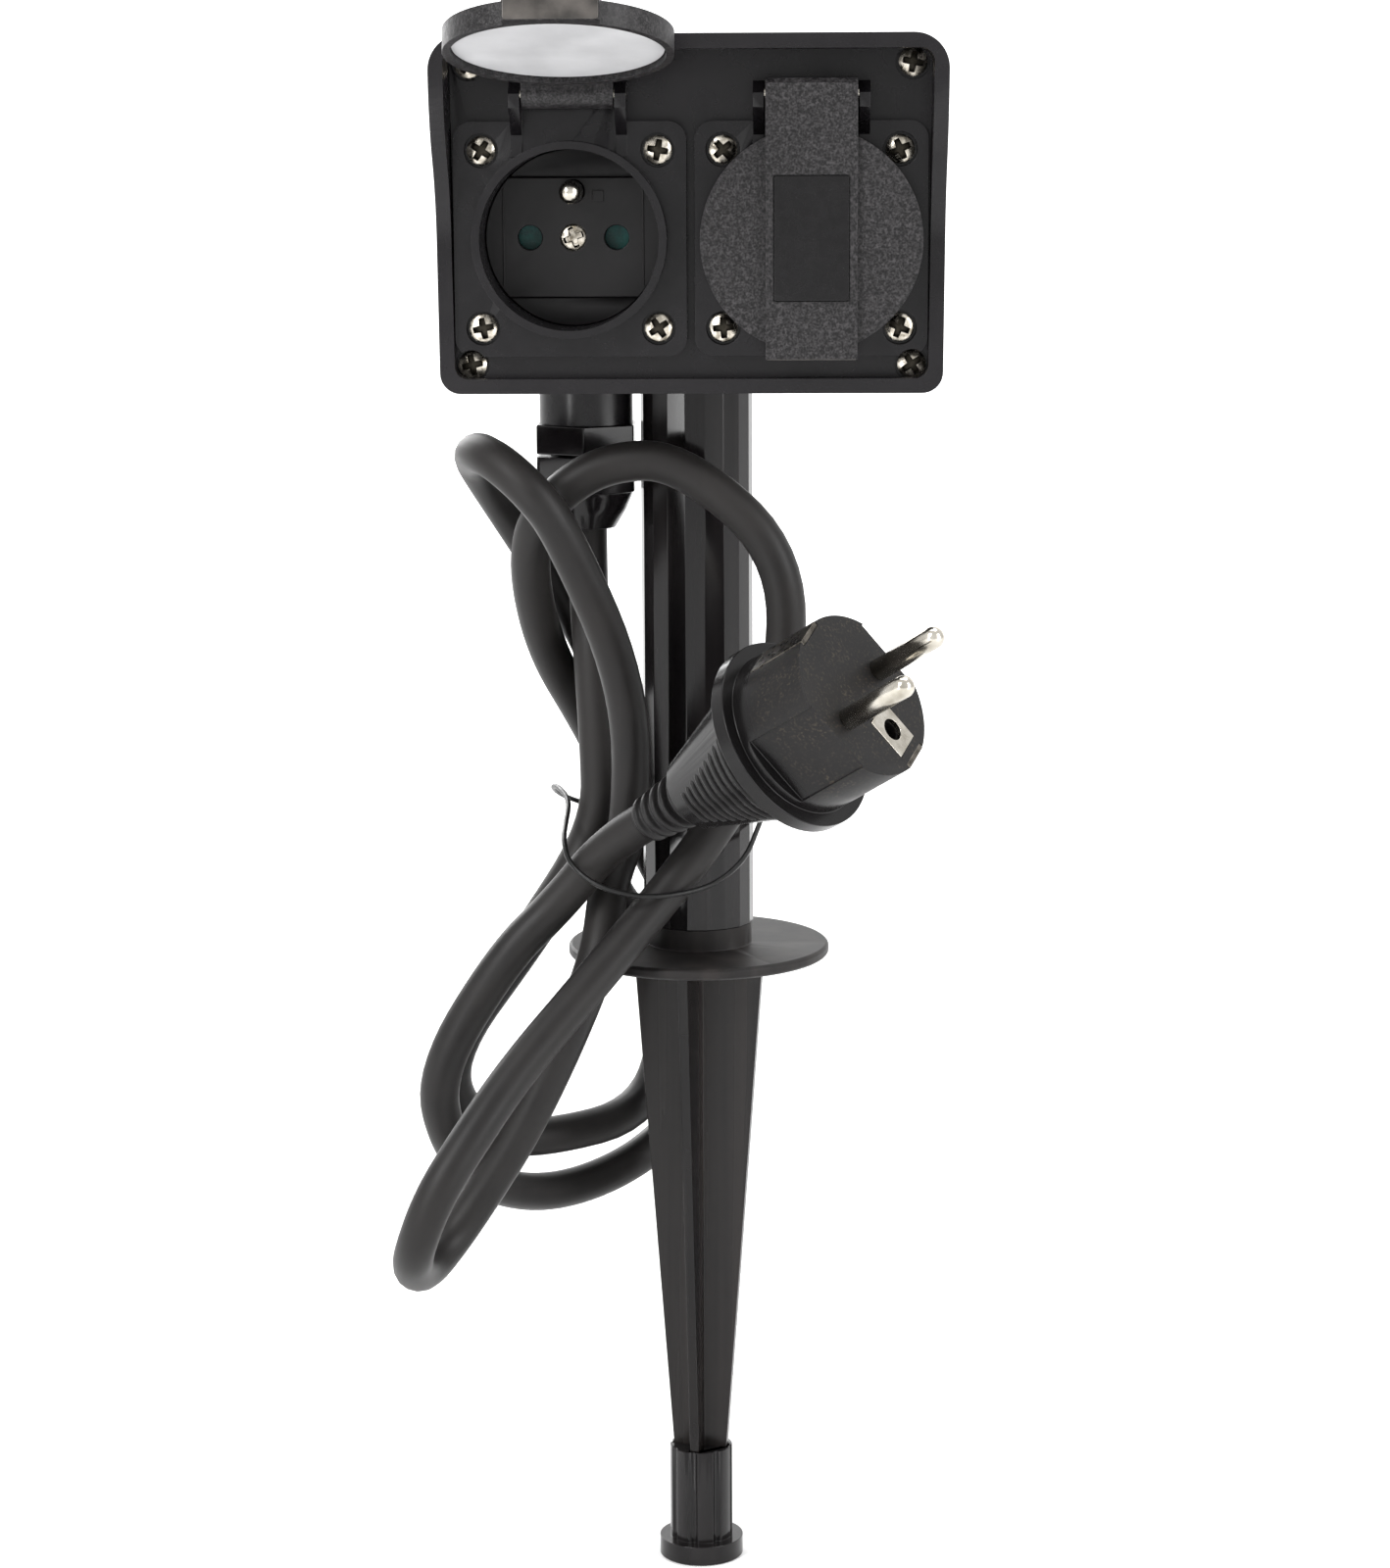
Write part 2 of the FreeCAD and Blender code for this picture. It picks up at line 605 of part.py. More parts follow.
def make_face(label, side, rear):
    """Contact face: a round plate with a proud middle band, two contact holes and the earth pin's hole."""
    centre = side * (dim.socket_pitch / 2)
    level = dim.socket_height
    owner = body(label)
    disc = sketch(owner, "XZ", face_back)
    circle(disc, centre, level, insert_diameter)
    feature(owner, "Pad", disc, dim.face_thickness)
    for sign in (-1, 1):
        segment = sketch(owner, "XZ", face_front)
        near, far = level + sign * (dim.band_height / 2), level + sign * dim.collar_inner
        outline(segment, rectangle(centre - dim.collar_inner, centre + dim.collar_inner,
                                   near if sign > 0 else far, far if sign > 0 else near))
        feature(owner, "Pocket", segment, dim.segment_step)
    holes = sketch(owner, "XZ", face_front)
    for sign in (-1, 1):
        circle(holes, centre + sign * (dim.contact_pitch / 2), level, dim.contact_hole)
    circle(holes, centre, level + dim.earth_height, dim.earth_diameter + dim.fit_gap)
    circle(holes, centre, level, screw_hole)
    feature(owner, "Pocket", holes, dim.face_thickness + 1)
    sink = sketch(owner, "XZ", face_front)
    circle(sink, centre, level, dim.centre_head + dim.fit_gap * 2)
    feature(owner, "Pocket", sink, dim.centre_head_height)
    return keep(owner, label, rear)


def make_base(label, side, rear):
    """Socket base: holds the contacts and the earth pin, with a round room for the shutter in front."""
    x = side * (dim.socket_pitch / 2)
    z = dim.socket_height
    pitch, front, depth = dim.contact_pitch / 2, -face_back, face_back - dim.base_back
    block = prism(8, insert_diameter * math.cos(math.pi / 8), depth, x, front, z, BACK)
    room_across = dim.contact_pitch + dim.shutter_pad + dim.room_gap * 2
    room = cylinder(room_across, dim.shutter_room, x, front, z, BACK)
    half = dim.contact_outer / 2 + dim.fit_gap
    wells = [box(x + sign * pitch - half, x + sign * pitch + half, front, front + depth, z - half, z + half)
             for sign in (-1, 1)]
    shaft = cylinder(screw_hole, dim.centre_length, x, front, z, BACK)
    earth_z = z + dim.earth_height
    earth = cylinder(dim.earth_diameter + dim.fit_gap, dim.centre_length, x, front, earth_z, BACK)
    return keep(cut(block, room, *wells, shaft, earth), label, rear)


def make_shutter(label, side, rear):
    """Shutter: an arm that swings on the centre screw, with a pad in front of each contact."""
    centre = side * (dim.socket_pitch / 2)
    level = dim.socket_height
    owner = body(label)
    start = shutter_floor + dim.shutter_clearance
    reach, half = dim.contact_pitch / 2, dim.shutter_arm / 2
    arm = sketch(owner, "XZ", start)
    outline(arm, rectangle(centre - reach, centre + reach, level - half, level + half))
    feature(owner, "Pad", arm, dim.shutter_thickness)
    pads = sketch(owner, "XZ", start)
    for sign in (-1, 1):
        circle(pads, centre + sign * reach, level, dim.shutter_pad)
    feature(owner, "Pad", pads, dim.shutter_thickness)
    hole = sketch(owner, "XZ", start + dim.shutter_thickness)
    circle(hole, centre, level, dim.screw_shank + dim.hinge_clearance * 2)
    feature(owner, "Pocket", hole, dim.shutter_thickness + 1)
    return keep(owner, label, rear)


def make_contacts(label, side, rear):
    """Live and neutral: a square sleeve for the plug's pin, with a terminal block behind the base."""
    level = dim.socket_height
    contacts = []
    front = shutter_floor - dim.slip_gap
    half, block = dim.contact_outer / 2, dim.terminal_size / 2
    for sign in (-1, 1):
        x = side * (dim.socket_pitch / 2) + sign * (dim.contact_pitch / 2)
        sleeve = box(x - half, x + half, -front, -dim.base_back, level - half, level + half)
        terminal = box(x - block, x + block, -dim.base_back, -dim.base_back + dim.terminal_depth,
                       level - block, level + block)
        bore = cylinder(dim.contact_bore, dim.contact_length, x, -front, level, BACK)
        contacts.append(cut(fuse(sleeve, terminal), bore))
    return keep(group(*contacts), label, rear)


def make_earth_pin(label, side, rear):
    """Earth pin with a tapered end, standing out of the contact face."""
    x = side * (dim.socket_pitch / 2)
    z = dim.socket_height + dim.earth_height
    tip = face_front + dim.earth_length
    root = face_back - dim.centre_length
    point = dim.earth_diameter / 2
    stem = cylinder(dim.earth_diameter, tip - point - root, x, -root, z, FORWARD)
    end = cone(dim.earth_diameter, point, point, x, -tip + point, z, FORWARD)
    return keep(fuse(stem, end), label, rear)


def make_lid(label, side, rear, opened):
    """Spring-free lid: round plate with a skirt, a raised strap with a smooth window, neck and knuckle."""
    centre = side * (dim.socket_pitch / 2)
    level = dim.socket_height
    owner = body(label)
    disc = sketch(owner, "XZ", flange_front + dim.lid_skirt_gap)
    circle(disc, centre, level, dim.lid_diameter)
    feature(owner, "Pad", disc, lid_front - flange_front - dim.lid_skirt_gap)
    half = dim.strap_width / 2
    neck = sketch(owner, "XZ", strap_front)
    outline(neck, rectangle(centre - half, centre + half, level + dim.neck_bottom, level + dim.hinge_up))
    feature(owner, "Pad", neck, dim.neck_thickness, reverse=True)
    knuckle = sketch(owner, "YZ", centre)
    hinge_y, hinge_z = -dim.hinge_front, level + dim.hinge_up
    low = hinge_z - dim.knuckle_radius
    outline(knuckle, [(hinge_y + dim.knuckle_radius, hinge_z), (hinge_y, hinge_z + dim.knuckle_radius),
                      (-strap_front + dim.strap_bevel, level + dim.strap_top),
                      (-strap_front, level + dim.strap_top - dim.strap_bevel),
                      (-strap_front, low - dim.knuckle_lead), (hinge_y, low)],
            arcs=((0, (hinge_y, hinge_z)), (5, (hinge_y, hinge_z))))
    feature(owner, "Pad", knuckle, dim.strap_width, both=True)
    strap = sketch(owner, "XZ", lid_front - 1)
    low = level - dim.lid_diameter / 2 - dim.strap_overhang
    outline(strap, rectangle(centre - half, centre + half, low, level + dim.neck_bottom + 1))
    feature(owner, "Pad", strap, dim.strap_raise + 1)
    lip = sketch(owner, "XZ", flange_front + dim.lid_skirt_gap)
    outline(lip, rectangle(centre - half, centre + half, low, low + dim.strap_lip + dim.strap_overhang))
    feature(owner, "Pad", lip, strap_front - flange_front - dim.lid_skirt_gap)
    inside = sketch(owner, "XZ", flange_front)
    circle(inside, centre, level, dim.lid_diameter - dim.lid_skirt_wall * 2)
    feature(owner, "Pocket", inside, lid_inside - flange_front, reverse=True)
    window = sketch(owner, "XZ", strap_front)
    half = dim.window_width / 2
    low, high = level - dim.window_bottom, level + dim.window_top
    outline(window, rectangle(centre - half, centre + half, low, high))
    feature(owner, "Pocket", window, dim.window_depth)
    bore = sketch(owner, "YZ", centre)
    circle(bore, hinge_y, hinge_z, dim.hinge_pin + dim.hinge_clearance * 2)
    feature(owner, "Pocket", bore, dim.strap_width + 2, both=True)
    return keep(owner, label, turn=lid_placement(rear, opened))


def lid_placement(rear, opened):
    """Swing about the hinge when the lid stands open, then the half turn of the rear face."""
    swing = FreeCAD.Placement()
    if opened:
        hinge = Vector(0, -float(dim.hinge_front), float(dim.socket_height + dim.hinge_up))
        turn = FreeCAD.Rotation(Vector(1, 0, 0), -float(dim.lid_open_angle))
        swing = FreeCAD.Placement(Vector(0, 0, 0), turn, hinge)
    if rear:
        return FreeCAD.Placement(Vector(0, 0, 0), HALF_TURN).multiply(swing)
    return swing


def make_lid_seal(label, side, rear, opened):
    """Pale sealing disc inside the lid."""
    x = side * (dim.socket_pitch / 2)
    seal = cylinder(dim.seal_diameter, dim.seal_thickness, x, -collar_front - dim.fit_gap,
                    dim.socket_height, FORWARD)
    return keep(group(seal), label, turn=lid_placement(rear, opened))


SOCKETS = [("front_left", -1, False), ("front_right", 1, False),
           ("rear_left", -1, True), ("rear_right", 1, True)]
OPEN_LID = "front_left"


def make_sockets():
    pins = []
    heads = []
    for name, side, rear in SOCKETS:
        opened = name == OPEN_LID
        make_frame("socket_frame_" + name, side, rear)
        make_face("socket_face_" + name, side, rear)
        make_base("socket_base_" + name, side, rear)
        make_shutter("shutter_" + name, side, rear)
        make_contacts("contacts_" + name, side, rear)
        make_earth_pin("earth_pin_" + name, side, rear)
        make_lid("lid_" + name, side, rear, opened)
        make_lid_seal("lid_seal_" + name, side, rear, opened)
        mirror = -1 if rear else 1
        x = mirror * side * (dim.socket_pitch / 2)
        y = -dim.hinge_front * mirror
        pins.append(cylinder(dim.hinge_pin, dim.ear_span, x - dim.ear_span / 2, y,
                             dim.socket_height + dim.hinge_up, RIGHT))
        heads.append(centre_screw(x, mirror))
    keep(group(*pins), "hinge_pins")
    keep(group(*heads), "centre_screws")


def centre_screw(x, mirror):
    """The screw that holds a contact face to its base and carries the shutter."""
    seat = -mirror * (face_front - dim.centre_head_height)
    front, back = (FORWARD, BACK) if mirror > 0 else (BACK, FORWARD)
    head = cone(dim.centre_head, dim.centre_head * dim.head_taper, dim.centre_head_height - dim.fit_gap,
                x, seat, dim.socket_height, front)
    stem = cylinder(dim.screw_shank, dim.centre_length, x, seat, dim.socket_height, back)
    return fuse(head, stem)


def make_post():
    """Faceted tube with a closed top that takes the screw from inside the box."""
    length = body_bottom - post_bottom
    tube = prism(dim.post_sides, dim.post_diameter, length, 0, 0, post_bottom)
    bore = cylinder(dim.post_bore, length - dim.post_web, 0, 0, post_bottom)
    boss = cylinder(dim.post_boss, dim.post_screw_length, 0, 0,
                    body_bottom - dim.post_screw_length)
    hole = cylinder(dim.post_screw_shank, dim.post_screw_length + 1, 0, 0,
                    body_bottom - dim.post_screw_length)
    keep(cut(fuse(cut(tube, bore), boss), hole), "post_tube")
    head = cylinder(dim.post_screw_head, dim.post_screw_head_height, 0, 0, floor_top)
    reach = dim.floor_thickness + dim.post_screw_length - 1
    stem = cylinder(dim.post_screw_shank, reach, 0, 0, floor_top, DOWN)
    keep(fuse(head, stem), "post_screw")


def make_spike():
    """Ground-stop disc, collar, spigot inside the post, and four tapering vanes."""
    owner = body("ground_spike")
    turning = sketch(owner, "XZ", 0)
    disc, collar = dim.disc_diameter / 2, dim.collar_diameter / 2
    spigot = dim.post_bore / 2 - dim.spigot_gap
    bevel = dim.disc_bevel
    outline(turning, [(0, 0), (disc - bevel, 0), (disc, bevel), (disc, dim.disc_thickness - bevel),
                      (disc - bevel, dim.disc_thickness), (collar, dim.disc_thickness),
                      (collar, post_bottom), (spigot, post_bottom),
                      (spigot, post_bottom + dim.spigot_length),
                      (0, post_bottom + dim.spigot_length)])
    turned(owner, turning)
    for plane in ("XZ", "YZ"):
        vane = sketch(owner, plane, 0)
        top, tip = dim.vane_top, dim.vane_tip
        outline(vane, [(-top, 0), (-tip, -dim.spike_length), (tip, -dim.spike_length), (top, 0),
                       (top, dim.disc_thickness / 2), (-top, dim.disc_thickness / 2)])
        feature(owner, "Pad", vane, dim.vane_thickness, both=True)
    turn = FreeCAD.Placement(Vector(0, 0, 0), FreeCAD.Rotation(Vector(0, 0, 1), -float(dim.spike_turn)))
    return keep(owner, "ground_spike", turn=turn)


def make_tip_cap():
    """Fluted protective sleeve with a round foot, pushed over the spike's tip."""
    sleeve_bottom = -dim.cap_bottom + dim.cap_flange
    owner = body("spike_tip_cap")
    sleeve = sketch(owner, "XY", sleeve_bottom)
    circle(sleeve, 0, 0, dim.cap_sleeve)
    feature(owner, "Pad", sleeve, dim.cap_height - dim.cap_flange)
    flute = sketch(owner, "XY", sleeve_bottom)
    circle(flute, dim.cap_sleeve / 2 + dim.cap_flute_out, 0, dim.cap_flute * 2)
    groove = feature(owner, "Pocket", flute, dim.cap_height, reverse=True)
    ring = owner.newObject("PartDesign::PolarPattern", "Flutes")
    ring.Originals = [groove]
    ring.Axis = (sleeve, ["N_Axis"])
    ring.Angle = 360
    bind(ring, "Occurrences", dim.cap_lobes)
    owner.Tip = ring
    foot = sketch(owner, "XY", -dim.cap_bottom)
    circle(foot, 0, 0, dim.cap_flange_diameter)
    feature(owner, "Pad", foot, dim.cap_flange)
    taper = (dim.vane_top - dim.vane_tip) / dim.spike_length
    mouth = -dim.cap_bottom + dim.cap_height
    mouth_half = dim.vane_tip + taper * (mouth + 1 + dim.spike_length) + dim.cap_clearance
    floor_half = dim.vane_tip + dim.cap_clearance
    floor_level = -dim.spike_length - dim.cap_clearance
    for plane in ("XZ", "YZ"):
        slot = sketch(owner, plane, 0)
        outline(slot, [(-floor_half, floor_level), (floor_half, floor_level), (mouth_half, mouth + 1),
                       (-mouth_half, mouth + 1)])
        feature(owner, "Pocket", slot, dim.vane_thickness + dim.cap_clearance * 2, both=True)
    turn = FreeCAD.Placement(Vector(0, 0, 0), FreeCAD.Rotation(Vector(0, 0, 1), -float(dim.spike_turn)))
    return keep(owner, "spike_tip_cap", turn=turn)


def turning_body(label, points, x):
    """A body turned from a half profile about a vertical axis at x."""
    owner = body(label)
    turning = sketch(owner, "XZ", 0)
    outline(turning, points)
    turned(owner, turning)
    owner.Placement = FreeCAD.Placement(Vector(float(x), 0, 0), FreeCAD.Rotation())
    owner.setExpression("Placement.Base.x", x.formula)
    return owner


def make_gland():
    """Gland in the cable boss: body with a hexagon, sealing ring, and a domed clamping nut."""
    x = -dim.gland_offset
    hex_top, hex_bottom = dim.boss_bottom, dim.boss_bottom - dim.gland_flange
    hexagon = prism(6, dim.gland_flats, dim.gland_flange, x, 0, hex_bottom)
    hexagon.Placement.Rotation = FLAT_TO_POST
    spigot = cylinder(dim.boss_bore - dim.fit_gap, dim.gland_spigot, x, 0, hex_top)
    neck = cylinder(dim.gland_neck, dim.gland_neck_length, x, 0, hex_bottom - dim.gland_neck_length)
    bore = cylinder(dim.gland_bore, dim.gland_spigot + dim.gland_flange + dim.gland_neck_length + 2,
                    x, 0, hex_bottom - dim.gland_neck_length - 1)
    keep(cut(fuse(hexagon, spigot, neck), bore), "gland_body")
    nut_top = hex_bottom - dim.gland_ring_gap
    height = nut_top - dim.nut_bottom
    mouth, flats, inside = dim.nut_mouth / 2, dim.gland_flats / 2, dim.gland_neck / 2 + dim.fit_gap
    dome = turning_body("gland_nut", [
        (mouth - dim.nut_lip, dim.nut_bottom), (mouth, dim.nut_bottom),
        (flats - dim.nut_shoulder, dim.nut_bottom + height / 4),
        (flats - dim.nut_edge, dim.nut_bottom + height / 2),
        (flats + dim.nut_grow, dim.nut_bottom + height / 2 + dim.nut_edge),
        (flats + dim.nut_grow, nut_top), (inside, nut_top),
        (inside, nut_top - dim.gland_neck_length + dim.gland_ring_gap / 2),
        (mouth - dim.nut_lip, dim.nut_bottom + dim.nut_lip * 2)], x)
    trim = prism(6, dim.gland_flats, height, x, 0, dim.nut_bottom)
    trim.Placement.Rotation = FLAT_TO_POST
    common = doc.addObject("Part::MultiCommon", "Common")
    common.Shapes = [dome, trim]
    dome.Label = "gland_nut_turning"
    keep(common, "gland_nut")
    ring = cylinder(dim.gland_bore - dim.fit_gap, dim.seal_ring_length, x, 0,
                    hex_bottom - dim.gland_neck_length + dim.fit_gap)
    hole = cylinder(dim.cable_diameter + dim.fit_gap, dim.seal_ring_length + 2, x, 0,
                    hex_bottom - dim.gland_neck_length - 1)
    keep(cut(ring, hole), "gland_seal")
    sheath = cylinder(dim.cable_diameter, floor_top + dim.cable_tail - dim.nut_bottom, x, 0, dim.nut_bottom)
    end = floor_top + dim.cable_tail
    cores = [cylinder(dim.core_diameter, dim.core_length, x + sign * dim.core_spread, 0, end)
             for sign in (-1, 0, 1)]
    keep(fuse(sheath, *cores), "inner_cable")


# The free cord after its first straight run out of the gland, up to the plug; heights suit a gland
# whose mouth is ROUTE_TOP above the disc's underside
CORD_POINTS = [
    (-24, -4, 73.5), (-22.5, -7, 52), (-22, -7.5, 31.5), (-38, -14.5, 7), (-59.5, -14.5, -22.5),
    (-50, -3, -46), (-37.5, 6, -52), (-11, 27, -45), (-8, 38.5, -15.5), (-16.5, 36.5, -0.5),
    (-22.5, 21, 12.5), (-24, 5, 28), (-22, 3, 46), (-28, 10, 64.5), (-47.5, 11.5, 97),
    (-54, -2, 113.5), (-54.5, -14.5, 120), (-52, -27.5, 123), (-44.5, -37, 120.5),
    (-35, -40, 112.5), (-28.5, -35.5, 103.5), (-14.5, -24, 67), (-14.5, -17, 33.5),
    (-20, -16.5, 20.5), (-24.5, -28, 5.5), (-33.5, -25, -17), (-42.5, -26, -36.5),
    (-50.5, -25.5, -54.5), (-56.5, -29, -63), (-60.5, -38, -67.5), (-64, -49, -66),
    (-63.5, -61, -56), (-59, -64.5, -41), (-50.5, -59.5, -28), (-39, -50, -15.5), (-23.5, -38.5, 1),
    (-1, -23, 26), (9.5, -21, 41.5), (18.5, -21, 61), (23.5, -23.5, 99.5), (-4, -22, 118.5),
    (-20.5, -21.5, 119), (-33.5, -21, 109.5), (-43, -12.5, 96.5), (-38.5, 0, 60.5), (-32, 10.5, 45),
    (-23, 22, 30), (-10.5, 31, 12.5), (0, 40, -5.5), (4.5, 42.5, -25), (0, 38.5, -44),
    (-14.5, 25, -61), (-31, 12.5, -66), (-46.5, -3, -60), (-58, -18, -42.5), (-62.5, -27, -22.5),
    (-45, -28, 7.5), (-33, -26, 19), (-19.5, -26.5, 31), (-10.5, -33.5, 37.5),
]
CORD_FIRST_RUN = 13.5
ROUTE_TOP = 99.5
PIN_LINE = (0.355, 0.834, 0.423)

# The wire tie round the post and the bundle, from one tail to the other
TIE_POINTS = [
    (21, 1.2, 36), (15.2, 1.2, 33), (13.9, -5, 30.5), (11.2, -16.6, 25.4), (4.4, -26.5, 21.3),
    (-5.1, -33.1, 20.3), (-13.4, -36.1, 20.8), (-21.8, -35.2, 22.9), (-28.2, -31.6, 27.4),
    (-29.7, -25, 31.5), (-29.7, -16.6, 33.5), (-29.2, -7.3, 37.1), (-32.4, 3.1, 38.6),
    (-35, 14.6, 36.6), (-32.9, 26, 32), (-24, 32.2, 27.9), (-13.4, 32.8, 26.4), (-2.9, 25, 27.9),
    (6, 16, 31), (13.2, 8.5, 31.5), (15.2, 2.9, 33), (21, 2.9, 36),
]


def risen(points):
    """A route's points, those above the disc raised or lowered in proportion with the gland's mouth."""
    rise = float(dim.nut_bottom) / ROUTE_TOP
    return [(x, y, z * rise if z > 0 else z) for x, y, z in points]


def route(points):
    """Straight runs joined by tangent arcs, each arc as large as its two runs allow."""
    spots = [Vector(*[float(number) for number in point]) for point in points]
    edges, radii = [], []
    last = spots[0]
    for before, corner, after in zip(spots, spots[1:], spots[2:]):
        into, out = (corner - before).normalize(), (after - corner).normalize()
        reach = 0.45 * min(before.distanceToPoint(corner), corner.distanceToPoint(after))
        half = into.getAngle(out) / 2
        radius = reach / math.tan(half)
        middle = corner + (out - into).normalize() * (radius / math.cos(half) - radius)
        start, end = corner - into * reach, corner + out * reach
        edges.append(Part.LineSegment(last, start).toShape())
        edges.append(Part.Arc(start, middle, end).toShape())
        radii.append(radius)
        last = end
    edges.append(Part.LineSegment(last, spots[-1]).toShape())
    return Part.Wire(edges), radii


def least_gap(path, diameter, apart):
    """Least gap between stretches of a tube that lie at least the given length apart along it."""
    count = int(path.Length / diameter * 5)
    spots = path.discretize(Number=count)
    skip = int(apart / path.Length * count)
    return min(spots[i].distanceToPoint(spot) for i in range(count) for spot in spots[i + skip:]) - diameter


def tube(label, points, diameter, apart):
    """A round tube along a route, with its radii, length, volume and least gap to itself printed."""
    path, radii = route(points)
    first = path.Edges[0]
    start, along = first.valueAt(first.FirstParameter), first.tangentAt(first.FirstParameter)
    profile = Part.Wire(Part.Circle(start, along, diameter / 2).toShape())
    thing = doc.addObject("Part::Feature", "Tube")
    thing.Shape = path.makePipeShell([profile], True, False)
    section = math.pi * diameter * diameter / 4
    print(label, "radii", " ".join("%.1f" % radius for radius in radii))
    print(label, "least radius %.1f, length %.1f, volume over section times length %.4f" % (
        min(radii), path.Length, thing.Shape.Volume / (section * path.Length)))
    print(label, "least gap to itself %.2f" % least_gap(path, diameter, apart))
    return keep(thing, label)


def make_cord():
    diameter = float(dim.cable_diameter)
    x, z = -float(dim.gland_offset), float(dim.nut_bottom)
    points = [(x, 0, z), (x, 0, z - CORD_FIRST_RUN)] + risen(CORD_POINTS)
    tube("supply_cord", points, diameter, diameter * 3.5)


def make_plug():
    """Plug drawn upright from its cable entry, then laid along the cord's last run."""
    face = dim.plug_length
    neck = cylinder(dim.relief_neck, dim.relief_length, 0, 0, 0)
    rings = []
    pitch = dim.relief_length / dim.relief_rings
    for number in range(int(float(dim.relief_rings))):
        grow = (dim.relief_diameter - dim.relief_neck) * (number + 1) / dim.relief_rings
        rings.append(cylinder(dim.relief_neck + grow, pitch / 2, 0, 0, pitch * number + pitch / 2))
    relief = dim.relief_length
    shell = fuse(cone(dim.cone_start, dim.cone_end, dim.cone_top - relief, 0, 0, relief),
                 cone(dim.cone_end, dim.grip_diameter, dim.grip_bottom - dim.cone_top, 0, 0, dim.cone_top),
                 cylinder(dim.grip_diameter, dim.grip_top - dim.grip_bottom, 0, 0, dim.grip_bottom),
                 cylinder(dim.head_diameter, face - dim.grip_top, 0, 0, dim.grip_top))
    edge, guide = dim.head_diameter / 2, dim.guide_width / 2
    clip, sink = dim.clip_width / 2, dim.head_diameter / 2 - dim.clip_sink
    clip_back = face - dim.clip_length
    tools, clips, pins = [], [], []
    for sign in (-1, 1):
        near, far = sorted((sign * (edge - dim.guide_depth), sign * (edge + 1)), key=float)
        tools.append(box(near, far, -guide, guide, dim.grip_top + dim.grip_bevel, face + 1))
        near, far = sorted((sign * sink, sign * (edge + 1)), key=float)
        tools.append(box(-clip - dim.fit_gap, clip + dim.fit_gap, near, far, clip_back, face + 1))
        near, far = sorted((sign * sink, sign * (sink + dim.clip_thickness)), key=float)
        clips.append(box(-clip, clip, near, far, clip_back + dim.fit_gap, face - dim.fit_gap))
        x = sign * (dim.pin_pitch / 2)
        pins.append(fuse(cylinder(dim.pin_diameter, dim.pin_length - dim.pin_diameter / 2, x, 0, face),
                         cone(dim.pin_diameter, dim.pin_point, dim.pin_diameter / 2, x, 0,
                              face + dim.pin_length - dim.pin_diameter / 2)))
    wide, high = dim.plate_width / 2, dim.plate_height / 2
    back = face - dim.plate_thickness
    seat = box(-wide - dim.fit_gap, wide + dim.fit_gap, -dim.plate_offset - high - dim.fit_gap,
               -dim.plate_offset + high + dim.fit_gap, back, face + 1)
    well = cylinder(dim.plate_hole, dim.earth_length, 0, -dim.plate_offset, face - dim.earth_length)
    plate = box(-wide, wide, -dim.plate_offset - high, -dim.plate_offset + high, back, face)
    hole = cylinder(dim.plate_hole, dim.plate_thickness + 2, 0, -dim.plate_offset, back - 1)
    before, end = [Vector(*point) for point in risen(CORD_POINTS[-2:])]
    laid = FreeCAD.Placement(end, FreeCAD.Rotation(Vector(*PIN_LINE), Vector(), end - before, "ZXY"))
    keep(group(fuse(neck, *rings)), "plug_strain_relief", turn=laid)
    keep(group(cut(shell, seat, well, *tools)), "plug_body", turn=laid)
    keep(group(*pins), "plug_pins", turn=laid)
    keep(group(*clips), "plug_earth_clips", turn=laid)
    keep(group(cut(plate, hole)), "plug_earth_contact", turn=laid)


def make_tie():
    diameter = float(dim.tie_diameter)
    tube("wire_tie", risen(TIE_POINTS), diameter, diameter * 10)


make_housing()
for face_name, is_rear in (("front", False), ("rear", True)):
    make_cover(face_name + "_cover", is_rear)
    make_gasket(face_name + "_gasket", is_rear)
    make_screws(face_name, is_rear)
make_sockets()
make_post()
make_spike()
make_tip_cap()
make_gland()
make_cord()
make_plug()
make_tie()


def finish():
    """Check every object and every sub-part, then write one file each."""
    doc.recompute()
    bad = [o.Label for o in doc.Objects if "Invalid" in o.State or "Error" in o.State]
    if bad:
        raise RuntimeError("failed objects: " + ", ".join(bad))
    for label, thing in nodes.items():
        shape = thing.Shape
        if shape.isNull() or not shape.isValid():
            raise RuntimeError("bad shape: " + label)
        size = shape.BoundBox
        print("%-28s solids %d volume %9.1f z %.1f..%.1f" % (
            label, len(shape.Solids), shape.Volume, size.ZMin, size.ZMax))
    print("nodes", len(nodes))
    for label, thing in nodes.items():
        thing.Shape.exportStep("parts/" + label + ".step")


finish()
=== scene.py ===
import json
import math
import bmesh
import bpy
import numpy as np
from mathutils import Matrix, Vector

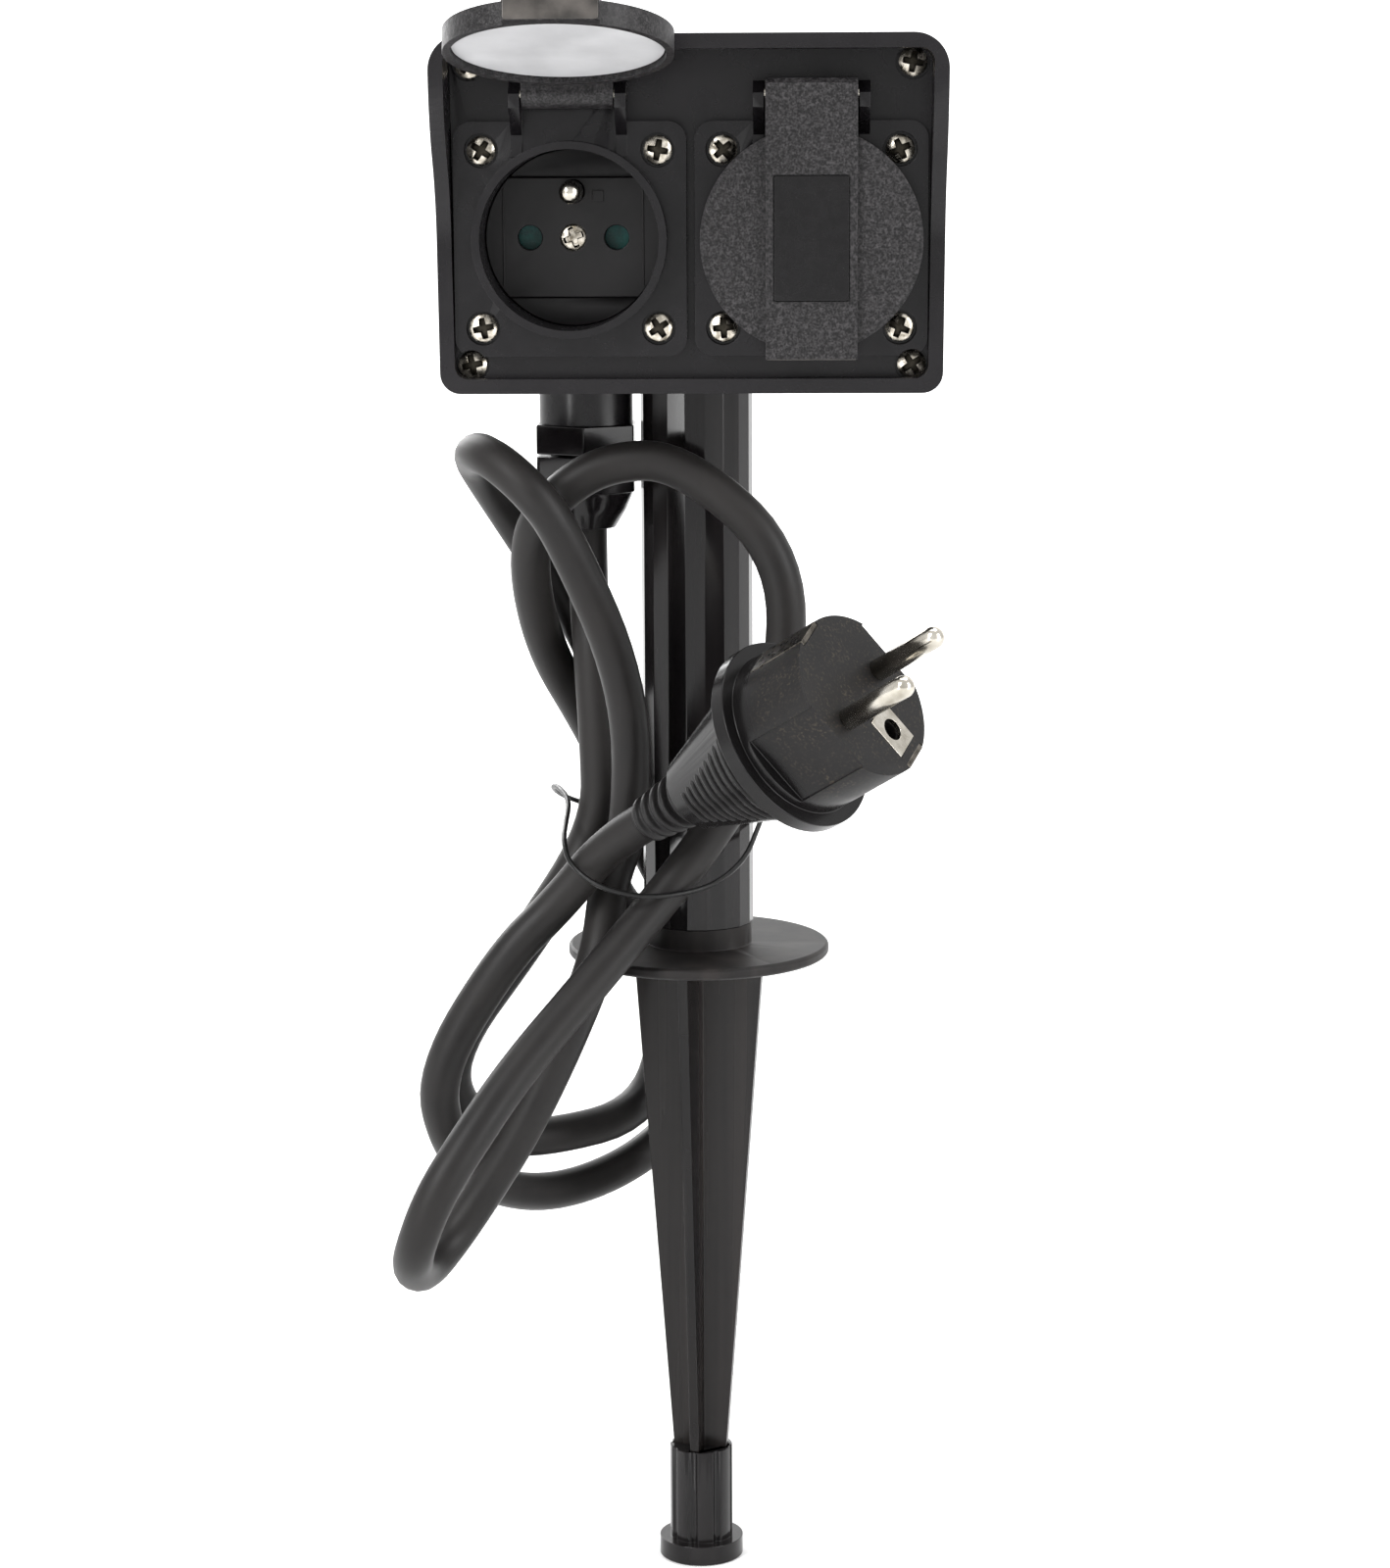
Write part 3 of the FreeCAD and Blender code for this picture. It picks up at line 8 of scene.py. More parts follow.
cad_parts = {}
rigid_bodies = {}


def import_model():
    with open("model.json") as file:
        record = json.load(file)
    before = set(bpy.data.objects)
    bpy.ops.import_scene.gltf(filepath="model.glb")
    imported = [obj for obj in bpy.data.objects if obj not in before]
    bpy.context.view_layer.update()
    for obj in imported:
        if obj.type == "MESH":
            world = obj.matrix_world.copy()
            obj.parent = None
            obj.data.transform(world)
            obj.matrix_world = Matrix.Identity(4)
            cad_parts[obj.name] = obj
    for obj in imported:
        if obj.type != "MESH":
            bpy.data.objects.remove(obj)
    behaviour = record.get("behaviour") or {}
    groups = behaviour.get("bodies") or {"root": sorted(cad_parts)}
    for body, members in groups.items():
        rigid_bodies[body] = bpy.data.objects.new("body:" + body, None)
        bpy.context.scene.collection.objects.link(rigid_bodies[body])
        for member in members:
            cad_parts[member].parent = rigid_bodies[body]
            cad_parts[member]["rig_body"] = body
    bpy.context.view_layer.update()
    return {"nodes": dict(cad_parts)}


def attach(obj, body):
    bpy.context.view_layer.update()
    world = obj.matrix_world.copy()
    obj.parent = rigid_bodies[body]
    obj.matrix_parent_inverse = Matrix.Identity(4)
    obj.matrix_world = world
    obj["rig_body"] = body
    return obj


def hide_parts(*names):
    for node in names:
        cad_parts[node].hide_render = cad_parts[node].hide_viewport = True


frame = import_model()
mm = 0.001  # lengths in the dictionaries are millimetres, and Blender's are metres
print("frame loaded with", len(frame["nodes"]), "nodes")


# ---- camera, floor and light

view = {
    "place": (24.1, -861.8, 196.1),
    "turn": (79.72, 0.27, 1.60),  # degrees; about ten degrees down onto the socket
    "lens": 98.25,
}

studio = {
    "floorTone": 0.86,
    "floorGlow": (0.16, 1.0),  # what the camera sees on top of the floor's own tone, near and far
    "glowReach": (420.0, 1700.0),
    "floorLevel": -147.2,
    "floorHalf": 3200.0,
    "wallStart": 1500.0,
    "wallHeight": 3000.0,
    "wallCurve": 900.0,
    "skyStrength": 0.42,
    "lamps": [
        # name, place, aimed at, size, watts
        ("keyBox", (-950.0, -1150.0, 1050.0), (0.0, 0.0, 100.0), (620.0, 900.0), 23.0),
        ("fillBox", (1250.0, -700.0, 520.0), (0.0, 0.0, 60.0), (500.0, 1100.0), 13.0),
        ("topBox", (60.0, 250.0, 1300.0), (0.0, 0.0, 150.0), (1100.0, 700.0), 17.0),
        ("backBox", (-700.0, 1250.0, 700.0), (0.0, 0.0, 80.0), (700.0, 900.0), 12.0),
        ("stripLeft", (-470.0, -560.0, 10.0), (0.0, 0.0, 20.0), (70.0, 300.0), 0.85),
        ("stripRight", (520.0, -520.0, 20.0), (0.0, 0.0, 20.0), (45.0, 300.0), 0.22),
    ],
}


def makeCamera():
    data = bpy.data.cameras.new("photoCamera")
    data.sensor_width = 36.0
    data.sensor_fit = "HORIZONTAL"
    data.lens = view["lens"]
    data.clip_start, data.clip_end = 0.02, 60.0
    camera = bpy.data.objects.new("photoCamera", data)
    camera.location = [number * mm for number in view["place"]]
    camera.rotation_euler = [math.radians(number) for number in view["turn"]]
    bpy.context.scene.collection.objects.link(camera)
    bpy.context.scene.camera = camera


def aimed(place, target):
    # a lamp shines along its own -Z, so that axis is laid on the line from place to target
    return (Vector(target) - Vector(place)).to_track_quat("-Z", "Y").to_euler()


def makeLamps():
    for name, place, target, size, watts in studio["lamps"]:
        data = bpy.data.lights.new(name, "AREA")
        data.shape = "RECTANGLE"
        data.size, data.size_y = size[0] * mm, size[1] * mm
        data.energy = watts
        lamp = bpy.data.objects.new(name, data)
        lamp.location = [number * mm for number in place]
        lamp.rotation_euler = aimed(place, target)
        bpy.context.scene.collection.objects.link(lamp)


def whiteForView(nodes, links):
    # 1 for what the camera sees straight, in a gloss or through glass, and 0 for light on the object
    path = nodes.new("ShaderNodeLightPath")
    either = nodes.new("ShaderNodeMath")
    either.operation = "MAXIMUM"
    third = nodes.new("ShaderNodeMath")
    third.operation = "MAXIMUM"
    links.new(path.outputs["Is Camera Ray"], either.inputs[0])
    links.new(path.outputs["Is Glossy Ray"], either.inputs[1])
    links.new(either.outputs[0], third.inputs[0])
    links.new(path.outputs["Is Transmission Ray"], third.inputs[1])
    return third.outputs[0]


def makeWorld():
    world = bpy.data.worlds.new("studioWorld")
    world.use_nodes = True
    nodes, links = world.node_tree.nodes, world.node_tree.links
    background = nodes["Background"]
    background.inputs["Color"].default_value = (1.0, 1.0, 1.0, 1.0)
    links.new(ranged(nodes, links, whiteForView(nodes, links), studio["skyStrength"], 1.0, 0.0, 1.0),
              background.inputs["Strength"])
    bpy.context.scene.world = world


def makeFloor():
    # a strip of rows that runs flat under the object, then up a quarter circle into a wall far behind it
    near, start, height = -studio["floorHalf"], studio["wallStart"], studio["wallHeight"]
    curve = studio["wallCurve"]
    turn = np.linspace(0.0, math.pi / 2, 16)
    depth = np.concatenate([[near, 0.0], start + curve * np.sin(turn)])
    level = np.concatenate([[0.0, 0.0], curve * (1.0 - np.cos(turn))])
    depth = np.append(depth, depth[-1])
    level = np.append(level, height) + studio["floorLevel"]
    side = np.array([-studio["floorHalf"], studio["floorHalf"]])
    points = np.stack([np.repeat(side[None, :], len(depth), 0), np.repeat(depth[:, None], 2, 1),
                       np.repeat(level[:, None], 2, 1)], axis=-1)
    floor = gridObject("studioFloor", points, False)
    material, shader, nodes, links = blankMaterial("floorPaper")
    shader.inputs["Base Color"].default_value = (studio["floorTone"],) * 3 + (1.0,)
    shader.inputs["Roughness"].default_value = 0.9
    shader.inputs["Specular IOR Level"].default_value = 0.1
    shader.inputs["Emission Color"].default_value = (1.0, 1.0, 1.0, 1.0)
    place = nodes.new("ShaderNodeTexCoord")
    away = nodes.new("ShaderNodeVectorMath")
    away.operation = "LENGTH"
    links.new(place.outputs["Object"], away.inputs[0])
    near, far = [number * mm for number in studio["glowReach"]]
    glow = nodes.new("ShaderNodeMath")
    glow.operation = "MULTIPLY"
    links.new(whiteForView(nodes, links), glow.inputs[0])
    links.new(ranged(nodes, links, away.outputs["Value"], *studio["floorGlow"], near, far), glow.inputs[1])
    links.new(glow.outputs[0], shader.inputs["Emission Strength"])
    floor.data.materials.append(material)


# ---- surfaces from arrays

def gridFaces(rows, columns, closed):
    # neighbours in a grid of rows and columns make one quad each; the last column meets the first when closed
    across = columns if closed else columns - 1
    row, column = np.meshgrid(np.arange(rows - 1), np.arange(across), indexing="ij")
    after = (column + 1) % columns
    return np.stack([row * columns + column, row * columns + after,
                     (row + 1) * columns + after, (row + 1) * columns + column], axis=-1).reshape(-1, 4)


def meshObject(name, vertices, faces, smooth=True):
    # vertices in millimetres and quads as arrays, put into the mesh with from_pydata; doubles merge,
    # so poles and seams close, and the normals are made to point outwards
    mesh = bpy.data.meshes.new(name)
    mesh.from_pydata((np.asarray(vertices, float) * mm).tolist(), [], np.asarray(faces).tolist())
    work = bmesh.new()
    work.from_mesh(mesh)
    bmesh.ops.remove_doubles(work, verts=work.verts, dist=2e-6)
    bmesh.ops.dissolve_degenerate(work, edges=work.edges, dist=1e-6)
    bmesh.ops.recalc_face_normals(work, faces=work.faces)
    work.to_mesh(mesh)
    work.free()
    mesh.polygons.foreach_set("use_smooth", [smooth] * len(mesh.polygons))
    made = bpy.data.objects.new(name, mesh)
    bpy.context.scene.collection.objects.link(made)
    return made


def gridObject(name, points, closed):
    # points stand as rows, columns and their three coordinates
    rows, columns = points.shape[:2]
    return meshObject(name, points.reshape(-1, 3), gridFaces(rows, columns, closed))


def joined(parts):
    # (vertices, faces) pairs stacked into one, each one's faces moved past the vertices before it
    vertices = [np.asarray(part[0], float).reshape(-1, 3) for part in parts]
    starts = np.cumsum([0] + [len(part) for part in vertices[:-1]])
    return np.concatenate(vertices), np.concatenate([part[1] + start for part, start in zip(parts, starts)])


def turnedGrid(profile, columns=48):
    # a (radius, height) profile turned about Z: x is radius times cosine and y is radius times sine
    angle = np.linspace(0.0, 2 * math.pi, columns, endpoint=False)
    radius, height = np.asarray(profile, float).T
    vertices = np.stack([radius[:, None] * np.cos(angle), radius[:, None] * np.sin(angle),
                         np.repeat(height[:, None], columns, 1)], axis=-1)
    return vertices.reshape(-1, 3), gridFaces(len(radius), columns, True)


def placed(part, origin, axes):
    # a part drawn about the origin, its x, y and z laid along the three axes and moved to the origin given
    return np.asarray(part[0]) @ np.asarray(axes, float) + np.asarray(origin, float), part[1]


def roundedRing(halfX, halfY, corner, inset, steps=6):
    # four quarter circles about the corners' centres, with every side moved inwards by the inset
    ring = []
    for quarter, (signX, signY) in enumerate(((1, 1), (-1, 1), (-1, -1), (1, -1))):
        turn = np.linspace(0.0, math.pi / 2, steps) + quarter * math.pi / 2
        ring.append(np.stack([signX * (halfX - corner) + (corner - inset) * np.cos(turn),
                              signY * (halfY - corner) + (corner - inset) * np.sin(turn)], axis=1))
    return np.concatenate(ring)


def softPlate(halfX, halfY, corner, thick, edge):
    # rounded rectangles stacked up to a quarter-round edge, closed by one point below and one above
    turn = np.linspace(0.0, math.pi / 2, 5)
    inset = np.concatenate([[0.0], edge * (1 - np.cos(turn)), [edge * 1.3]])
    level = np.concatenate([[0.0], thick - edge * (1 - np.sin(turn)), [thick]])
    rings = [np.pad(roundedRing(halfX, halfY, corner, i), ((0, 0), (0, 1)), constant_values=z)
             for i, z in zip(inset, level)]
    low, high = np.zeros_like(rings[0]), np.zeros_like(rings[0])
    high[:, 2] = thick
    rows = np.stack([low] + rings + [high])
    return rows.reshape(-1, 3), gridFaces(len(rows), rows.shape[1], True)


frontAxes = ((1.0, 0.0, 0.0), (0.0, 0.0, 1.0), (0.0, -1.0, 0.0))  # z points out of the front face
rearAxes = ((-1.0, 0.0, 0.0), (0.0, 0.0, 1.0), (0.0, 1.0, 0.0))
downAxes = ((1.0, 0.0, 0.0), (0.0, 1.0, 0.0), (0.0, 0.0, -1.0))


def standFor(piece, *names, slot=None):
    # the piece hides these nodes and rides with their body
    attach(piece, frame["nodes"][names[0]]["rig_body"])
    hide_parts(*names)
    return piece


def finishedCopy(name, newName, bevel, material, slot, steps=2, sharp=32.0):
    # a merged copy of a node, flat faces made whole and every sharp edge eased by a live Bevel
    mesh = frame["nodes"][name].data.copy()
    mesh.name = newName
    mesh.materials.clear()
    work = bmesh.new()
    work.from_mesh(mesh)
    bmesh.ops.remove_doubles(work, verts=work.verts, dist=1.5e-6)
    bmesh.ops.dissolve_limit(work, angle_limit=math.radians(0.4), verts=work.verts, edges=work.edges)
    work.to_mesh(mesh)
    work.free()
    mesh.polygons.foreach_set("use_smooth", [True] * len(mesh.polygons))
    mesh.set_sharp_from_angle(angle=math.radians(sharp))
    mesh.materials.append(material)
    made = bpy.data.objects.new(newName, mesh)
    bpy.context.scene.collection.objects.link(made)
    if bevel:
        ease = made.modifiers.new("easedEdges", "BEVEL")
        ease.width = bevel * mm
        ease.segments = steps
        ease.limit_method = "ANGLE"
        ease.angle_limit = math.radians(sharp)
        ease.use_clamp_overlap = True
        ease.harden_normals = True
    return standFor(made, name, slot=slot)


# ---- materials

def blankMaterial(name):
    material = bpy.data.materials.new(name)
    material.use_nodes = True
    nodes, links = material.node_tree.nodes, material.node_tree.links
    return material, nodes["Principled BSDF"], nodes, links


def noise(nodes, links, size, detail=3.0, stretch=None, space="Object"):
    # noise whose blobs are about the given size in millimetres; stretch lengthens them along an axis
    place = nodes.new("ShaderNodeTexCoord")
    source = place.outputs[space]
    if stretch is not None:
        scale = nodes.new("ShaderNodeMapping")
        scale.inputs["Scale"].default_value = stretch
        links.new(source, scale.inputs["Vector"])
        source = scale.outputs["Vector"]
    made = nodes.new("ShaderNodeTexNoise")
    made.inputs["Scale"].default_value = 1.0 / (size * mm)
    made.inputs["Detail"].default_value = detail
    links.new(source, made.inputs["Vector"])
    return made.outputs["Fac"]


def ranged(nodes, links, value, low, high, start=0.3, end=0.7):
    # low where the value is at start, high where it is at end, and a straight line between
    made = nodes.new("ShaderNodeMapRange")
    made.inputs["From Min"].default_value = start
    made.inputs["From Max"].default_value = end
    made.inputs["To Min"].default_value = low
    made.inputs["To Max"].default_value = high
    links.new(value, made.inputs["Value"])
    return made.outputs["Result"]


def tinted(nodes, links, value, dark, light, start=0.3, end=0.7):
    # the same line between two colours
    ramp = nodes.new("ShaderNodeValToRGB")
    ramp.color_ramp.elements[0].position = start
    ramp.color_ramp.elements[1].position = end
    ramp.color_ramp.elements[0].color = tuple(dark) + (1.0,)
    ramp.color_ramp.elements[1].color = tuple(light) + (1.0,)
    links.new(value, ramp.inputs["Fac"])
    return ramp.outputs["Color"]


def raised(nodes, links, shader, layers):
    # one Bump after another: each layer is (height value, strength, depth in millimetres)
    normal = None
    for value, strength, depth in layers:
        bump = nodes.new("ShaderNodeBump")
        bump.inputs["Strength"].default_value = strength
        bump.inputs["Distance"].default_value = depth * mm
        links.new(value, bump.inputs["Height"])
        if normal is not None:
            links.new(normal, bump.inputs["Normal"])
        normal = bump.outputs["Normal"]
    links.new(normal, shader.inputs["Normal"])


def mouldedPlastic(name, look):
    # black plastic: slow patches of tone and gloss and a fine moulded grain
    material, shader, nodes, links = blankMaterial(name)
    patches = noise(nodes, links, look["patch"], 4.0)
    grain = noise(nodes, links, look["grain"], 2.0)
    streaks = noise(nodes, links, look["patch"] / 4, 3.0, look.get("stretch"))
    tone = tinted(nodes, links, patches, look["dark"], look["light"])
    # painted reflection: where the look has a streak colour, lighter brownish vertical streaks are mixed into the
    # base colour to stand for the reflected bands on glossy facets
    if "reflectionStreak" in look:
        tone = mixed(nodes, links, ranged(nodes, links, streaks, 0.0, 1.0, 0.42, 0.72), tone, look["reflectionStreak"])
    links.new(tone, shader.inputs["Base Color"])
    rough = ranged(nodes, links, streaks, *look["rough"])
    if "worn" in look:
        # scuffed dull above a level: the larger of the two roughnesses counts
        start, end, dull = look["worn"]
        height = axisShare(nodes, links, (0.0, 0.0, 0.0), (0.0, 0.0, 1.0), start, end)
        scuffed = ranged(nodes, links, height, 0.0, dull, 0.0, 1.0)
        larger = nodes.new("ShaderNodeMath")
        larger.operation = "MAXIMUM"
        links.new(rough, larger.inputs[0])
        links.new(scuffed, larger.inputs[1])
        rough = larger.outputs[0]
    links.new(rough, shader.inputs["Roughness"])
    shader.inputs["Specular IOR Level"].default_value = look["specular"]
    raised(nodes, links, shader, [(grain, look["grainStrength"], look["grainDepth"]),
                                  (patches, 0.15, 0.02)])
    return material


def axisShare(nodes, links, origin, axis, start, end):
    # how far a point lies along an axis: the dot product of place less origin with the axis, 0 at start and 1 at end
    place = nodes.new("ShaderNodeTexCoord")
    apart = nodes.new("ShaderNodeVectorMath")
    apart.operation = "SUBTRACT"
    apart.inputs[1].default_value = [number * mm for number in origin]
    links.new(place.outputs["Object"], apart.inputs[0])
    along = nodes.new("ShaderNodeVectorMath")
    along.operation = "DOT_PRODUCT"
    along.inputs[1].default_value = axis
    links.new(apart.outputs["Vector"], along.inputs[0])
    return ranged(nodes, links, along.outputs["Value"], 0.0, 1.0, start * mm, end * mm)


def mixed(nodes, links, share, first, second):
    # first colour times one less the share, plus second colour times the share; each is a colour or a link
    mix = nodes.new("ShaderNodeMix")
    mix.data_type = "RGBA"
    links.new(share, mix.inputs["Factor"])
    for socket, colour in ((mix.inputs["A"], first), (mix.inputs["B"], second)):
        if isinstance(colour, tuple):
            socket.default_value = colour + (1.0,)
        else:
            links.new(colour, socket)
    return mix.outputs["Result"]


def flecked(name, look):
    # black rubber whose head carries brownish flecks; the flecks begin where the head leaves its ring
    material, shader, nodes, links = blankMaterial(name)
    patches = noise(nodes, links, look["patch"], 4.0)
    pores = noise(nodes, links, look["grain"], 2.0)
    specks = ranged(nodes, links, noise(nodes, links, look["fleck"], 3.0), 0.0, 1.0, 0.53, 0.68)
    crowd = ranged(nodes, links, noise(nodes, links, look["fleck"] * 7, 2.0), 0.25, 1.0, 0.4, 0.6)
    head = axisShare(nodes, links, look["origin"], look["axis"], *look["head"])
    amount = specks
    for other in (crowd, head):
        product = nodes.new("ShaderNodeMath")
        product.operation = "MULTIPLY"
        links.new(amount, product.inputs[0])
        links.new(other, product.inputs[1])
        amount = product.outputs[0]
    plain = tinted(nodes, links, patches, look["dark"], look["light"])
    links.new(mixed(nodes, links, amount, plain, look["speck"]), shader.inputs["Base Color"])
    links.new(ranged(nodes, links, head, *look["rough"], 0.0, 1.0), shader.inputs["Roughness"])
    shader.inputs["Specular IOR Level"].default_value = look["specular"]
    raised(nodes, links, shader, [(pores, 0.3, 0.03), (patches, 0.2, 0.05)])
    return material


def sparkedPlastic(name, look):
    # spark-eroded plastic: pits of two sizes, with the pits' crests painted a little lighter than their floors, as
    # light on the crests and shade in the pits
    material, shader, nodes, links = blankMaterial(name)
    coarse = noise(nodes, links, look["coarse"], 4.0)
    fine = noise(nodes, links, look["fine"], 2.0)
    # painted light and shade: the same noises that raise the pits' bump colour their crests lighter and their floors
    # darker
    speckleAndPitShade = nodes.new("ShaderNodeMath")
    speckleAndPitShade.operation = "MULTIPLY"
    links.new(ranged(nodes, links, coarse, 0.4, 1.0, 0.35, 0.65), speckleAndPitShade.inputs[0])
    links.new(ranged(nodes, links, fine, 0.2, 1.0, 0.35, 0.65), speckleAndPitShade.inputs[1])
    links.new(tinted(nodes, links, speckleAndPitShade.outputs[0], look["dark"], look["light"], 0.15, 0.95),
              shader.inputs["Base Color"])
    links.new(ranged(nodes, links, fine, *look["rough"]), shader.inputs["Roughness"])
    shader.inputs["Specular IOR Level"].default_value = look["specular"]
    raised(nodes, links, shader, [(coarse, 0.55, look["depth"]), (fine, 0.45, look["depth"] / 2)])
    return material


def nickel(name, look):
    # plated metal: bright, a little yellow, with fine scratches and duller patches
    material, shader, nodes, links = blankMaterial(name)
    shader.inputs["Metallic"].default_value = 1.0
    patches = noise(nodes, links, look["patch"], 4.0)
    links.new(tinted(nodes, links, patches, look["dark"], look["light"]), shader.inputs["Base Color"])
    links.new(ranged(nodes, links, patches, *look["rough"]), shader.inputs["Roughness"])
    scratches = noise(nodes, links, look["scratch"], 2.0, look.get("stretch"))
    raised(nodes, links, shader, [(scratches, 0.2, 0.01)])
    return material


def rubber(name, look):
    # rubber or soft vinyl: matt, slow patches, fine pores and a little sheen
    material, shader, nodes, links = blankMaterial(name)
    patches = noise(nodes, links, look["patch"], 5.0)
    pores = noise(nodes, links, look["grain"], 2.0)
    links.new(tinted(nodes, links, patches, look["dark"], look["light"]), shader.inputs["Base Color"])
    links.new(ranged(nodes, links, patches, *look["rough"]), shader.inputs["Roughness"])
    shader.inputs["Specular IOR Level"].default_value = look["specular"]
    shader.inputs["Sheen Weight"].default_value = look.get("sheen", 0.0)
    shader.inputs["Sheen Roughness"].default_value = 0.5
    raised(nodes, links, shader, [(pores, look["grainStrength"], look["grainDepth"]),
                                  (patches, 0.3, 0.06)])
    return material


finishes = {
    "boxPlastic": mouldedPlastic("boxPlastic", {
        "patch": 34.0, "grain": 0.35, "grainStrength": 0.25, "grainDepth": 0.03,
        "dark": (0.0058, 0.0050, 0.0060), "light": (0.0090, 0.0080, 0.0092),
        "rough": (0.22, 0.34), "specular": 0.28}),
    "framePlastic": mouldedPlastic("framePlastic", {
        "patch": 22.0, "grain": 0.3, "grainStrength": 0.2, "grainDepth": 0.02,
        "dark": (0.0050, 0.0045, 0.0052), "light": (0.0082, 0.0074, 0.0084),
        "rough": (0.19, 0.30), "specular": 0.28}),
    "lidPlastic": sparkedPlastic("lidPlastic", {
        "coarse": 1.1, "fine": 0.45, "depth": 0.14, "dark": (0.0040, 0.0037, 0.0040),
        "light": (0.050, 0.047, 0.049), "rough": (0.34, 0.56), "specular": 0.26}),
    "lidWindow": mouldedPlastic("lidWindow", {
        "patch": 9.0, "grain": 0.25, "grainStrength": 0.1, "grainDepth": 0.01,
        "dark": (0.0048, 0.0044, 0.0048), "light": (0.0075, 0.0070, 0.0075),
        "rough": (0.20, 0.32), "specular": 0.24}),
    # painted highlight: the strap end's face is coloured far lighter than the lid's own plastic
    "lidTabHighlight": mouldedPlastic("lidTabHighlight", {
        "patch": 7.0, "grain": 0.4, "grainStrength": 0.05, "grainDepth": 0.01,
        "dark": (0.024, 0.022, 0.020), "light": (0.100, 0.090, 0.082),
        "rough": (0.10, 0.24), "specular": 0.4, "stretch": (1.0, 1.0, 0.2)}),
    "insertPlastic": mouldedPlastic("insertPlastic", {
        "patch": 12.0, "grain": 0.28, "grainStrength": 0.3, "grainDepth": 0.03,
        "dark": (0.0060, 0.0056, 0.0060), "light": (0.0110, 0.0102, 0.0108),
        "rough": (0.32, 0.46), "specular": 0.26}),
    "shutterPlastic": mouldedPlastic("shutterPlastic", {
        "patch": 2.2, "grain": 0.25, "grainStrength": 0.2, "grainDepth": 0.02,
        "dark": (0.004, 0.045, 0.042), "light": (0.010, 0.105, 0.094),
        "rough": (0.22, 0.40), "specular": 0.24}),
    "glossPlastic": mouldedPlastic("glossPlastic", {
        "patch": 26.0, "grain": 0.5, "grainStrength": 0.05, "grainDepth": 0.01,
        "dark": (0.0046, 0.0042, 0.0047), "light": (0.0082, 0.0072, 0.0074),
        "rough": (0.10, 0.20), "specular": 0.26, "stretch": (1.0, 1.0, 0.05), "reflectionStreak": (0.0150, 0.0132, 0.0135)}),
    "spikePlastic": mouldedPlastic("spikePlastic", {
        "patch": 30.0, "grain": 0.5, "grainStrength": 0.05, "grainDepth": 0.01,
        "dark": (0.0048, 0.0043, 0.0047), "light": (0.0110, 0.0092, 0.0088),
        "rough": (0.12, 0.34), "specular": 0.24, "stretch": (1.0, 1.0, 0.03), "reflectionStreak": (0.0230, 0.0196, 0.0185),
        "worn": (-2.0, 0.5, 0.5)}),
    "glandPlastic": mouldedPlastic("glandPlastic", {
        "patch": 14.0, "grain": 0.3, "grainStrength": 0.15, "grainDepth": 0.02,
        "dark": (0.0058, 0.0050, 0.0056), "light": (0.0100, 0.0088, 0.0094),
        "rough": (0.12, 0.22), "specular": 0.30}),
    "sealRubber": rubber("sealRubber", {
        "patch": 11.0, "grain": 0.4, "grainStrength": 0.15, "grainDepth": 0.02,
        "dark": (0.47, 0.47, 0.48), "light": (0.58, 0.58, 0.59), "rough": (0.5, 0.66), "specular": 0.3}),
    "gasketRubber": rubber("gasketRubber", {
        "patch": 9.0, "grain": 0.4, "grainStrength": 0.2, "grainDepth": 0.03,
        "dark": (0.007, 0.007, 0.007), "light": (0.012, 0.012, 0.012), "rough": (0.6, 0.75), "specular": 0.2}),
    "cableRubber": rubber("cableRubber", {
        "patch": 16.0, "grain": 0.35, "grainStrength": 0.35, "grainDepth": 0.03,
        "dark": (0.0078, 0.0070, 0.0070), "light": (0.0150, 0.0134, 0.0128),
        "rough": (0.42, 0.56), "specular": 0.24, "sheen": 0.015}),
    "plugRubber": sparkedPlastic("plugRubber", {
        "coarse": 0.55, "fine": 0.28, "depth": 0.045, "dark": (0.0050, 0.0046, 0.0048),
        "light": (0.0170, 0.0156, 0.0156), "rough": (0.36, 0.52), "specular": 0.24}),
    "tiePlastic": mouldedPlastic("tiePlastic", {
        "patch": 3.0, "grain": 0.3, "grainStrength": 0.2, "grainDepth": 0.02,
        "dark": (0.005, 0.005, 0.005), "light": (0.009, 0.009, 0.009), "rough": (0.3, 0.45), "specular": 0.25}),
    "screwNickel": nickel("screwNickel", {
        "patch": 1.3, "scratch": 0.12, "dark": (0.20, 0.175, 0.135), "light": (0.78, 0.73, 0.64),
        "rough": (0.14, 0.34)}),
    # painted shade: a dark, dull copy of the nickel for the faces inside the screws' cross recess
    "screwRecessShade": nickel("screwRecessShade", {
        "patch": 1.0, "scratch": 0.12, "dark": (0.020, 0.018, 0.014), "light": (0.060, 0.053, 0.042),
        "rough": (0.40, 0.55)}),
    "contactNickel": nickel("contactNickel", {
        "patch": 4.5, "scratch": 0.10, "dark": (0.38, 0.35, 0.29), "light": (0.66, 0.63, 0.57),
        "rough": (0.14, 0.28)}),
    # painted shade: the side clips' nickel is coloured dark, for clips that sit sunk in and shadowed
    "clipNickelShaded": nickel("clipNickelShaded", {
        "patch": 2.0, "scratch": 0.10, "dark": (0.050, 0.045, 0.038), "light": (0.16, 0.145, 0.125),
        "rough": (0.22, 0.40)}),
}

slotFinish = {  # for the nodes that stay as they are
    "insert_plastic": "insertPlastic", "shutter_plastic": "shutterPlastic", "seal_rubber": "sealRubber",
    "gasket_rubber": "gasketRubber", "screw_steel": "screwNickel", "contact_metal": "contactNickel",
    "cable_rubber": "cableRubber",
}


def dress(piece, finish):
    piece.data.materials.clear()
    piece.data.materials.append(finishes[finish])


# ---- camera, light and cord come first

makeCamera()
makeLamps()
makeWorld()
makeFloor()
bpy.context.scene.view_settings.view_transform = "Standard"
print("camera, light and floor")

